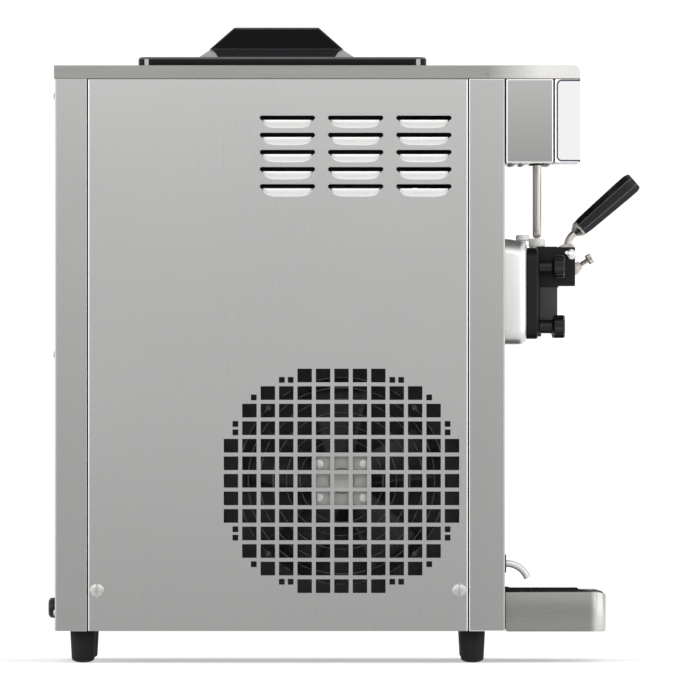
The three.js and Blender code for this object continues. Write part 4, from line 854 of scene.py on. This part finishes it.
def lid(side_name, x):
    rings = [rect_ring(x, inset, z) for inset, z in
             ((2.6, 720.2), (2.6, 717.3), (0, 717.3), (0, 725.0), (0.3, 725.6), (2.1, 727.4),
              (2.7, 727.6), (10, 727.6))]
    plate = loft(f"lid_plate_{side_name}", rings, "lid")
    # The lid's top bevel takes the lighter rim plastic: a painted highlight.
    repaint(plate, "rim", lambda at, n: at.z > 725.2 and 0.1 < n.z < 0.98)
    # Narrow grey stripes on the rounded lid corners: a painted highlight.
    repaint(plate, "gusset", lambda at, n: at.z < 725.2 and 0.84 < abs(n.x) < 0.93 and abs(n.z) < 0.1)
    upper = [handle_ring(x, z, w, h) for z, w, h in
             ((736.6, 33.4, 79.4), (737.4, 34.8, 80.6), (738.6, 34.4, 79.4), (762.4, 23.0, 52.4),
              (763.8, 21.4, 50.6))]
    # The handle's bevels take the lighter rim plastic: a painted highlight along its edges.
    handle = soften(loft(f"lid_handle_{side_name}", upper, "handle", sharp=24), 1.1, 3, 20, "rim")
    lower = [handle_ring(x, z, w, h) for z, w, h in ((727.0, 26.5, 72.0), (737.2, 32.6, 79.2))]
    waist = loft(f"lid_handle_waist_{side_name}", lower, "waist", sharp=24)
    body = side_name + "_lid"
    piece(plate, "black_plastic", "lid_" + side_name, body=body)
    piece(handle, "black_plastic", body=body)
    piece(waist, "black_plastic", body=body)
    for end, name in ((-1, "front"), (1, "rear")):
        outline = [(HANDLE_Y + end * reach, z) for reach, z in
                   ((76.0, 736.9), (80.0, 737.0), (93.0, 728.4), (93.4, 727.3), (70.0, 727.3))]
        gusset = prism(f"lid_gusset_{side_name}_{name}", outline, "x", x - 30, x + 30, "gusset")
        piece(soften(gusset, 0.5, 2), "black_plastic", body=body)


def hopper(side_name, x):
    def ring(grow, z):
        return [(u, v, z) for u, v in hopper_outline(grow, x)]

    tub = [ring(*pair) for pair in (
        (-8, 561.5), (-3.2, 562.6), (-1.5, 566), (-1.5, 717.2), (-0.6, 718.3), (6.4, 718.5), (7, 718.1),
        (7, 717.3), (0.4, 717.3), (0, 716.6), (0, 566), (-3, 560.6), (-8, 560))]
    piece(loft("mix_hopper_" + side_name, tub, "drawn"), "polished_steel", "hopper_" + side_name)
    profile = [(6, 560.8), (6, 498), (8, 498), (8, 563.5), (11, 563.9), (11, 562.2), (12, 561.2)]
    collar = lathe("hopper_outlet_" + side_name, profile, "polished", (copysign(80, x), -40, 0), UP, 40,
                   loop=True)
    jacket = [ring(*pair) for pair in ((0.3, 572), (8, 572), (9, 573), (9, 694), (8, 695), (0.3, 695))]
    piece(loft("hopper_jacket_" + side_name, jacket, "foam", loop=True), "rubber")
    piece(collar, "polished_steel")


# ---- head, levers and valves

TILT = radians(31.7)
SCREW_AXIS = (0, -cos(TILT), sin(TILT))
SCREW_SEAT = (ahead(89.1), 476.4)
PIVOT = Vector((0, ahead(79.9), 490.6))
ARM, ARM_FALL = 39.9, radians(17.5)     # from the pivot to a plunger's notch, and its slope
GRIP_TILT = radians(41.2)
GRIP_AXIS = Vector((0, -cos(GRIP_TILT), sin(GRIP_TILT)))


def shroud():
    def section(s, inset, top, corner):
        outline = rounded(-178 + inset, 178 - inset, 382 + inset, top, corner, 10)
        return [(x, ahead(s), z) for x, z in outline]

    rings = [section(0.6, 0, 509.2, 18), section(9, 0, 508.2, 18), section(17, 0, 506.6, 18)]
    for turn in (k / 8 for k in range(1, 9)):
        inset = 10 * (1 - cos(pi / 2 * turn))
        top = 506.6 - 0.6 * inset - 0.8 * turn
        rings.append(section(17 + 10 * sin(pi / 2 * turn), inset, top, 18 - 0.3 * inset))
    shell = loft("shroud_shell", rings, "satin")
    piece(shell, "polished_steel", "cylinder_shroud")
    profile = [(0, 0)]
    for k in range(28):
        profile += [(3.5, k * 1.45), (3.0, k * 1.45 + 0.72)]
    profile += [(3.0, 41), (0, 41.4)]
    for index, (x, z) in enumerate(STUDS):
        thread = lathe(f"head_stud_{index}", profile, "polished", (x, ahead(27), z), FORWARD, 24)
        piece(thread, "polished_steel")


def head_body():
    """The dark block with a bore, a lever slot and a screw well for each flavour."""
    outline = seen_from_side(((39, 398), (39, 500), (62, 500), (65.5, 499.2), (85.2, 499.2),
                              (85.2, 452.6), (67.4, 452.6)))
    outline += arc(ahead(67.4), 449, 3.6, 75, 15, 4) + seen_from_side(((63.8, 449), (63.8, 398)))
    body = prism("head_body", outline, "x", -130, 130, "flange")
    slot = seen_from_side(((44, 472), (66, 472), (74, 482.8), (87, 482.8), (87, 505), (44, 505)))
    bore = [(0, 400), (8.8, 400), (8.8, 510), (0, 510)]
    well = [(0, -14), (3.1, -14), (3.1, 12), (0, 12)]
    tools = []
    for _, x in FLAVOURS:
        tools.append(prism("slot", slot, "x", x - 5.5, x + 5.5, "head"))
        tools.append(lathe("bore", bore, "head", (x, VALVE_Y, 0), UP, 40))
        tools.append(lathe("well", well, "head", (x, *SCREW_SEAT), SCREW_AXIS, 24))
    rod_hole = [(0, -140), (4.4, -140), (4.4, 140), (0, 140)]
    tools.append(lathe("rod_hole", rod_hole, "head", PIVOT, RIGHT, 28))
    return soften(cut(body, *tools), 1.2, 3)


def head():
    holes = [circle(x, z, 4.4, 28) for x, z in STUDS]
    flange = sheet_plate("head_flange", rounded(-170, 170, 388.7, 498.4, 14), holes, "y",
                         VALVE_Y, ahead(27.6), "flange", 2.2, 0.6, 4)
    lip = sheet_plate("head_flange_lip", rounded(-166, 166, 392.5, 495, 12), holes, "y",
                      ahead(41.2), ahead(39), "flange", 0.8, 0.4, 3)
    piece(head_body(), "head_plastic", "dispensing_head")
    foot = seen_from_side(((39, 399), (39, 391.6), (44.4, 391.6), (44.4, 399)))
    heel = soften(prism("head_heel", foot, "x", -130, 130, "head"), 0.8, 2)
    for extra in (flange, lip, heel):
        piece(extra, "head_plastic")
    cheek = seen_from_side(((41.6, 399.4), (41.6, 451.4), (63.0, 451.4), (63.0, 399.4)))
    for side, _ in SIDES:
        made = prism("head_cheek", cheek, "x", *span(side, 129.6, 131.6), "head")
        piece(soften(made, 1.6, 4), "head_plastic")
    bushing = [(3.2, -6), (7.4, -6), (7.4, -1.6), (5.4, 1.2), (5.0, 4.2), (4.4, 4.9), (3.2, 4.9)]
    for name, x in FLAVOURS:
        star = [circle(x, VALVE_Y, 5.6 if i % 2 else 8.4, 12)[i] for i in range(12)]
        ring = sheet_plate("nozzle_ring_" + name, circle(x, VALVE_Y, 11.8, 48), [star], "z", 395.5,
                           399, "head", 0.8, 0.3)
        piece(ring, "head_plastic")
        boss = lathe("screw_bushing_" + name, bushing, "cream", (x, ahead(88.0), 475.4), SCREW_AXIS,
                     40, loop=True)
        piece(boss, "white_plastic")


def ripple(low, high, depth, teeth):
    """A wave for lathe() that gives a stretch of the turned piece so many teeth."""
    return lambda angle, along: 1 + depth * cos(teeth * angle) if low < along < high else 1


def flow_screws():
    profile = [(0, -7), (2.2, -7)]
    for k in range(20):
        profile += [(2.65, -6.4 + k * 1.02), (2.1, -5.9 + k * 1.02)]
    profile += [(2.4, 14), (4.6, 14.2), (5.7, 14.8), (5.7, 19.0), (5.0, 19.7), (0, 19.7)]
    for name, x in FLAVOURS:
        screw = lathe("thumb_screw_" + name, profile, "lever", (x, *SCREW_SEAT), SCREW_AXIS, 96,
                      wave=ripple(14.6, 19.2, 0.05, 24))
        piece(screw, "polished_steel", "flow_screw_" + name, body=name + "_flow_screw")


def lever_arm(x):
    """The hub, its tongue that reaches into the plunger's notch, and the saddle over the hub."""
    def place(y, z):
        return (PIVOT.y + y, PIVOT.z + z)

    tip = (ARM * cos(ARM_FALL), -ARM * sin(ARM_FALL))

    def flank(along, height):
        return place(along * tip[0] + height * sin(ARM_FALL), along * tip[1] + height * cos(ARM_FALL))

    tongue = [flank(0, -5.5), flank(0.93, -2.0)] + arc(*place(*tip), 4.5, -150, 120, 9)
    tongue += [flank(0.9, 2.2), flank(0, 5.5)]
    saddle = [place(y, z) for y, z in ((-4.7, 6), (-4.7, 10.0), (-3.2, 11.9), (-0.6, 13.0), (2.5, 13.3),
                                       (6, 13.0), (9.6, 11.9), (13.5, 9.6), (6, 4))]
    hub = [(4.4, -4.5), (7.0, -4.5), (7.0, 4.5), (4.4, 4.5)]
    parts = [prism("arm", tongue, "x", x - 4.5, x + 4.5, "lever"),
             lathe("hub", hub, "lever", (x, PIVOT.y, PIVOT.z), RIGHT, 40, loop=True),
             prism("saddle", saddle, "x", x - 4.5, x + 4.5, "lever")]
    return [soften(part, 0.7, 3) for part in parts]


def lever_stem(x):
    """A bar that bends forwards, from the saddle to the ferrule."""
    bend = []
    for t in (i / 14 for i in range(15)):
        y = (1 - t) ** 2 * 3.0 + 2 * t * (1 - t) * 2.6 + t * t * -7.6
        z = (1 - t) ** 2 * 10 + 2 * t * (1 - t) * 21.4 + t * t * 27.6
        bend.append((x, PIVOT.y + y, PIVOT.z + z))
    return loft("stem", path_rings(bend, 3.9, 20), "lever")


def levers():
    ferrule = [(0, -9.4), (3.8, -9.4), (5.2, -8.2), (9.0, -3.0), (10.0, -1.3), (10.1, -0.2), (9.7, 0.3),
               (0, 0.3)]
    outline = ((9.9, 0), (10.7, 1.0), (11.6, 9), (12.5, 38), (13.3, 68), (13.4, 80.5), (12.8, 83.6),
               (11.0, 86.8))
    u, v, w = frame_of(GRIP_AXIS)
    facets = [radians(22.5 + 45 * k) for k in range(8)]
    for name, x in FLAVOURS:
        start = PIVOT + Vector((x, -11.8, 31.8))
        parts = lever_arm(x) + [lever_stem(x), lathe("ferrule", ferrule, "lever", start, GRIP_AXIS, 48)]
        lever = fuse("draw_lever_" + name, parts)
        piece(lever, "polished_steel", "lever_" + name, body=name + "_lever")
        rings = [[start + u * (radius * cos(a)) + v * (radius * sin(a)) + w * along for a in facets]
                 for radius, along in outline]
        # The grip's facet edges take the lighter rim plastic: a painted highlight.
        grip = soften(loft("lever_grip_" + name, rings, "grip", sharp=20), 0.9, 3, 18, "rim")
        piece(grip, "black_plastic", "grip_" + name, body=name + "_lever")


def pivot_rod():
    bar = [(0, -136), (4, -136), (4, 132), (3.2, 133), (0, 133)]
    ball = [(u, v / 2.2 - 133.4) for u, v in arc(0, 0, 6.6, 50, -90, 10)]
    end = [(0, -133), (2.4, -133), (2.4, -139), (2.0, -140), (0, -140.2)]
    parts = [lathe("rod", bar, "polished", PIVOT, RIGHT, 32),
             lathe("cap", [(3.9, -130.4)] + ball + [(0, -136.4)], "polished", PIVOT, RIGHT, 40),
             lathe("stub", end, "polished", PIVOT + Vector((0, 4.9, 1.8)), RIGHT, 28)]
    piece(fuse("lever_rod", parts), "polished_steel", "pivot_rod")


def valves():
    plunger = [(0, 404), (7.9, 404), (8.5, 404.8), (8.5, 500.4), (8.9, 500.5), (9.5, 501.2),
               (9.5, 509.1), (9.0, 509.8), (5.6, 509.9), (4.6, 509.0), (0, 508.6)]
    push_rod = [(0, 510.4), (1.6, 510.5), (3.2, 511.3), (4.3, 512.6), (4.75, 514.2), (4.75, 640),
                (8, 640), (8, 646), (0, 646)]
    plug = [(0, 499), (3.4, 499), (3.4, 507.4), (6.8, 507.6), (7.6, 508.4), (7.6, 513.2),
            (6.6, 514.2), (0, 514.2)]
    tip_z = PIVOT.z - ARM * sin(ARM_FALL)
    for name, x in FLAVOURS:
        body = lathe("plunger_body_" + name, plunger, "ivory", (x, VALVE_Y, 0), UP, 90,
                     wave=ripple(501.4, 509.0, 0.012, 30))
        notch = block("notch", (x - 5.2, x + 5.2), (VALVE_Y - 11, VALVE_Y + 4.9),
                      (tip_z - 5.3, tip_z + 5.3), "ivory")
        piece(cut(body, notch), "white_plastic", "plunger_" + name, body=name + "_plunger")
        rod = lathe("lift_rod_" + name, push_rod, "lever", (x, VALVE_Y, 0), UP, 48)
        piece(rod, "polished_steel", "push_rod_" + name, body=name + "_push_rod")
    for name, x in (FLAVOURS[0], FLAVOURS[2]):
        vent = lathe("vent_plug_" + name, plug, "ivory", (x, ahead(22.6), 0), UP, 72,
                     wave=ripple(508.4, 513.4, 0.02, 24))
        piece(vent, "white_plastic", "bleed_plug_" + name, body=name + "_bleed_plug")


def knobs():
    profile = [(4.2, 0.4), (7.6, 0), (8.2, 0.8), (8.2, 15.5), (9.5, 17.3), (11.4, 17.7), (12.9, 19.0),
               (12.9, 29.6), (11.6, 31.2), (7.0, 31.6), (6.2, 30.4), (0.6, 30.4), (0.6, 27),
               (4.1, 26.6), (4.1, 0.6)]
    for x, z in sorted(STUDS, key=lambda stud: -stud[1]):
        name = ("upper_" if z > 440 else "lower_") + ("left" if x < 0 else "right")
        knob = lathe("hand_knob_" + name, profile, "black", (x, ahead(41.4), z), FORWARD, 96, loop=True,
                     wave=ripple(17.5, 40, -0.07, 6))
        piece(knob, "black_plastic", "knob_" + name, body=name + "_knob")


# ---- tray, spout, feet, gland

def tray():
    back, front, corner = ahead(1), ahead(121.7), 16.0

    def plan(inset):
        turn = arc(215 - corner, front + corner, corner - inset, 0, -90, 10)
        half = [(215 - inset, back)] + turn
        return half + [(-x, y) for x, y in reversed(half)]

    def level(y, z):
        """The rim falls towards the rounded front."""
        if z < 80:
            return z
        t = min(1.0, max(0.0, (ahead(108) - y) / 13.7))
        return z - 3.5 * t * t

    def ring(inset, z):
        return [(x, y - (inset if y >= back else 0), level(y, z)) for x, y in plan(inset)]

    rings = [ring(*pair) for pair in (
        (3.0, 37.0), (0.8, 37.6), (0.1, 39.5), (0, 60), (0, 84.0), (0.35, 84.8), (0.9, 85.0), (1.5, 84.6),
        (1.6, 84.0), (1.6, 41.5), (2.2, 39.2), (4.5, 38.5))]
    pan = loft("drip_pan", rings, "tray", sharp=50)
    piece(pan, "cover_steel", "drip_tray", body="tray")


def rack():
    slots = [stadium((column + 0.5) * 40, ahead(middle + half * 6.4), 34, 8.4, 5)
             for column in range(-5, 5) for middle in (30, 66) for half in (-1, 1)]
    outline = [(-214.3, ahead(90)), (214.3, ahead(90)), (214.3, ahead(1.2)), (-214.3, ahead(1.2))]
    flat = sheet_plate("rack_flat", outline, slots, "z", 86.8, 85.3, "grid", 0.5, 0.4)
    lip = seen_from_side(((89.4, 86.8), (90.3, 86.4), (91.2, 85.5), (92.6, 84.6), (96, 83.9),
                          (104, 83.3), (115, 82.8)))
    under = [(y + 0.2, z - 1.4) for y, z in reversed(lip)]
    dip = soften(prism("rack_dip", lip + under, "x", -205, 205, "grid", 40), 0.35, 2)
    rise = seen_from_side(((1.2, 85.4), (1.2, 88.0), (4.5, 87.8), (9, 86.7), (9, 85.4)))
    edge = prism("rack_back", rise, "x", -214.3, 214.3, "grid")
    piece(fuse("drip_grid", [flat, dip, soften(edge, 0.4, 2)]), "black_plastic", "drip_rack", body="rack")


def spout():
    x, z = -120.0, 118.2
    bend = arc(FRONT - 2.6, z - 27, 27, 90, 160, 18)
    path = [(x, y, height) for y, height in [(FRONT + 12, z), (FRONT + 6, z), (FRONT, z)] + bend]
    rings = path_rings(path, 4.1, 32) + path_rings(path, 2.6, 32)[::-1]
    pipe = loft("pipe", rings, "ivory", loop=True)
    # Faces turned away from the X axis take the grey: painted dark reflections along the tube's upper and
    # lower edges, as seen from the side.
    repaint(pipe, "gusset", lambda at, n: abs(n.x) < 0.72)
    profile = [(3.9, 0.3), (11.1, 0.3), (11.1, 1.6), (10.5, 2.2), (4.6, 2.3), (3.9, 2.3)]
    collar = lathe("collar", profile, "enamel", (x, FRONT, z), FORWARD, 48, loop=True)
    piece(fuse("drain_spout", [pipe, collar]), "white_plastic", "drip_spout")


def feet():
    profile = [(0, 0), (3, 0.08), (6, 0.4), (9, 1.1), (11.4, 2.1), (12.8, 3.1), (13.5, 4.2), (13.8, 5.6),
               (15.4, 36.6), (15.1, 37.7), (14.4, BOTTOM), (4, BOTTOM), (4, 47), (0, 47)]
    for end, y in (("front", ahead(-39.2)), ("rear", REAR - 34.9)):
        for side, name in SIDES:
            foot = lathe(f"rubber_foot_{end}_{name}", profile, "rubber", (side * 230.0, y, 0))
            piece(foot, "rubber", f"foot_{end}_{name}")


def gland():
    profile = [(4.6, -8.7), (11.9, -8.7), (11.9, -4), (8, -3.7), (8, -1.0), (11.9, -1.0), (12.2, -0.4),
               (12.2, 3.0), (11.6, 4.6), (10.2, 6.0), (8.2, 6.9), (5.6, 7.0), (4.6, 6.2)]
    nut = lathe("cord_gland", profile, "black", (GLAND_X, REAR, GLAND_Z), BACKWARD, 60, loop=True,
                wave=ripple(2, 5, 0.02, 14))
    piece(nut, "black_plastic", "cable_gland")


# ---- behind the grille

def fan_turned(name, profile, material, x=0, dy=0, dz=0, sides=48, axis=RIGHT, **options):
    """A turned piece placed from the fan's middle."""
    return lathe(name, profile, material, (x, FAN_Y + dy, FAN_Z + dz), axis, sides, **options)


def fan_guard():
    face, wire = -259.5, 0.9
    guard = []
    for radius in (50, 66, 82, 98, 112, 124):
        profile = circle(radius, 0, wire, 8)
        guard.append(fan_turned("ring", profile, "wire", face, sides=72, loop=True))
    for turn in range(4):
        out = Vector((0, round(cos(pi / 2 * turn)), round(sin(pi / 2 * turn))))
        for shift in (-CELL_Y / 2, CELL_Y / 2):
            start = out * 30 + Vector((0, -out.z, out.y)) * shift
            spoke = [(0, 0), (1.1, 0.2), (1.1, 93.8), (0, 94)]
            guard.append(fan_turned("spoke", spoke, "wire", face + 1.4, start.y, start.z, 12, out))
    for dz, dy in circle(0, 0, 124, 8)[1::2]:
        post = [(0, 0), (3, 0), (3, 72.5), (0, 72.5)]
        guard.append(fan_turned("post", post, "wire", face + 1, dy, dz, 16))
    piece(fuse("wire_guard", guard), "black_enamel", "fan_guard")


def fan_motor():
    bracket = sheet_plate("bracket", rounded(FAN_Y - 36, FAN_Y + 36, FAN_Z - 30, FAN_Z + 30, 9),
                          [circle(FAN_Y, FAN_Z, 15, 40)], "x", -257.2, -254, "cast", 0.6, 0.6)
    dome = [(0, -256.2), (6, -256.6), (12, -257.6), (13.6, -258.0), (14.6, -257.4), (15.4, -255.6),
            (22, -255.4), (23.5, -256.8), (26.5, -256.8), (28, -255.2), (34, -252), (34, -226),
            (32, -222), (29, -217.4), (4, -217.2), (4, -195.2), (0, -195)]
    washer = [(0, -256.8), (5.4, -256.8), (5.4, -257.6), (4.9, -257.9), (0, -257.9)]
    nut = [(0, -257.6), (3.7, -257.6), (3.7, -258.2), (3.0, -258.4), (0, -258.4)]
    parts = [bracket, fan_turned("can", dome, "cast", sides=56)]
    for dy in (-27, 27):
        for dz in (-20, 20):
            parts.append(fan_turned("washer", washer, "zinc", 0, dy, dz, 32))
            parts.append(fan_turned("nut", nut, "zinc", 0, dy, dz, 6))
    piece(fuse("fan_motor_body", parts), "cast_alloy", "fan_motor")


def fan_blade(turn):
    """A cambered blade, pitched to the fan's axis and turned about it."""
    rows, columns, pitch = 12, 10, radians(24)
    verts = []
    for t in (r / rows for r in range(rows + 1)):
        lead, trail = 15 + 27 * t ** 0.8, -15 - 21 * t ** 1.2
        for q in (c / columns for c in range(columns + 1)):
            width, bulge = trail + (lead - trail) * q, sin(pi * q)
            x = width * sin(pitch) + 3.2 * bulge * cos(pitch)
            u = width * cos(pitch) - 3.2 * bulge * sin(pitch)
            v = 17 + 92 * t + (3.5 * bulge if t == 1 else 0)
            verts.append((FAN_WHEEL_X + x, FAN_Y + u * cos(turn) - v * sin(turn),
                          FAN_Z + u * sin(turn) + v * cos(turn)))
    blade = make_object("blade", verts, quads(rows, columns), "enamel", 60)
    thick = blade.modifiers.new("thickness", "SOLIDIFY")
    thick.thickness = 1.5 * MM
    thick.offset = 0
    return blade


def fan_wheel():
    hub = [(4.5, -10), (16, -10), (19, -8.6), (20, -6), (20, 8), (18, 10), (4.5, 10)]
    parts = [fan_blade(radians(72 * turn)) for turn in range(5)]
    parts.append(fan_turned("hub", hub, "enamel", FAN_WHEEL_X, loop=True))
    piece(fuse("fan_wheel", parts), "black_plastic", "fan_blade", body="fan")


# ---- carried-over CAD nodes

CAD_FINISH = {
    "base_pan": "galvanised", "shelf": "galvanised", "condenser": "coil", "control_box": "galvanised",
    "cylinder_left": "drawn", "cylinder_right": "drawn",
    "beater_left": "white", "beater_right": "white",
    "gearbox_left": "cast", "gearbox_right": "cast",
    "drive_motor_left": "enamel", "drive_motor_right": "enamel", "compressor": "enamel",
}


def finish_cad_nodes():
    for name, material in CAD_FINISH.items():
        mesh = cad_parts[name].data
        mesh.materials.clear()
        mesh.materials.append(MATERIALS[material])
        soften(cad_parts[name], 0.6, 2, 40)


# ---- stage, light and camera

def stage():
    """A pale floor, a little bright by itself, so that its contact shadow stays light."""
    size = 60.0
    mesh = bpy.data.meshes.new("floor")
    corners = [(-size, -size, 0), (size, -size, 0), (size, size, 0), (-size, size, 0)]
    mesh.from_pydata(corners, [], [(0, 1, 2, 3)])
    paper = bpy.data.materials.new("floor_paper")
    paper.use_nodes = True
    tree = paper.node_tree
    inputs = tree.nodes["Principled BSDF"].inputs
    inputs["Roughness"].default_value = 0.9
    inputs["Specular IOR Level"].default_value = 0.1
    inputs["Emission Color"].default_value = (1, 1, 1, 1)
    inputs["Emission Strength"].default_value = 0.38
    tone = two_tone(tree, grain(tree, (3, 3, 3)), (0.60, 0.60, 0.60), (0.62, 0.62, 0.62))
    tree.links.new(tone, inputs["Base Color"])
    mesh.materials.append(paper)
    add_object("floor", mesh)


def studio():
    """A white room with a grey card hung beyond the left side."""
    world = bpy.data.worlds.new("studio")
    world.use_nodes = True
    tree = world.node_tree
    coords = tree.nodes.new("ShaderNodeTexCoord")
    axes = tree.nodes.new("ShaderNodeSeparateXYZ")
    card = node(tree, "ShaderNodeMapRange", From_Min=-0.99, From_Max=-0.92, To_Min=0.3, To_Max=1.12)
    card.interpolation_type = "SMOOTHSTEP"
    tree.links.new(coords.outputs["Generated"], axes.inputs["Vector"])
    tree.links.new(axes.outputs["X"], card.inputs["Value"])
    tree.links.new(card.outputs["Result"], tree.nodes["Background"].inputs["Strength"])
    tree.nodes["Background"].inputs["Color"].default_value = (1, 1, 1, 1)
    bpy.context.scene.world = world
    bpy.context.scene.view_settings.view_transform = "Standard"


def aim(obj, place, direction):
    obj.location = place
    obj.rotation_mode = "QUATERNION"
    obj.rotation_quaternion = Vector(direction).to_track_quat("-Z", "Y")


def softbox(name, place, size, radiance, target=(0, 0.05, 0.4)):
    """An area light of an even brightness, given relative to white."""
    data = bpy.data.lights.new(name, "AREA")
    data.shape = "RECTANGLE"
    data.size, data.size_y = size
    data.energy = radiance * pi * size[0] * size[1]
    aim(add_object(name, data), place, Vector(target) - Vector(place))


def lights():
    softbox("top_light", (-6.0, 0.05, 2.35), (8.0, 3.0), 1.4, (-0.27, 0.05, 2.35))
    softbox("front_left_light", (-1.2, -2.1, 0.6), (1.5, 1.8), 1.2)
    softbox("rear_left_light", (-1.2, 2.2, 0.6), (1.5, 1.8), 1.2)
    softbox("front_strip", (-0.1, -2.6, 0.6), (1.0, 1.6), 1.1)
    softbox("rear_strip", (-0.1, 2.7, 0.6), (1.0, 1.6), 1.1)


def camera():
    data = bpy.data.cameras.new("camera")
    data.lens = 1600
    data.sensor_width = 36
    data.clip_start, data.clip_end = 1.0, 1000.0
    frame_width = 0.828    # metres seen across the picture at the left side panel
    distance = frame_width * data.lens / data.sensor_width
    made = add_object("camera", data)
    aim(made, (-HALF * MM - distance, -0.0005, 0.3814), RIGHT)
    bpy.context.scene.camera = made


side_panels()
shade_strips_and_block()
end_panels()
top_cover()
housing()
display()
for way, side_name in SIDES:
    lid(side_name, way * HOPPER_X)
    hopper(side_name, way * HOPPER_X)
shroud()
head()
flow_screws()
levers()
pivot_rod()
valves()
knobs()
tray()
rack()
spout()
feet()
gland()
fan_guard()
fan_motor()
fan_wheel()
finish_cad_nodes()
stage()
studio()
lights()
camera()
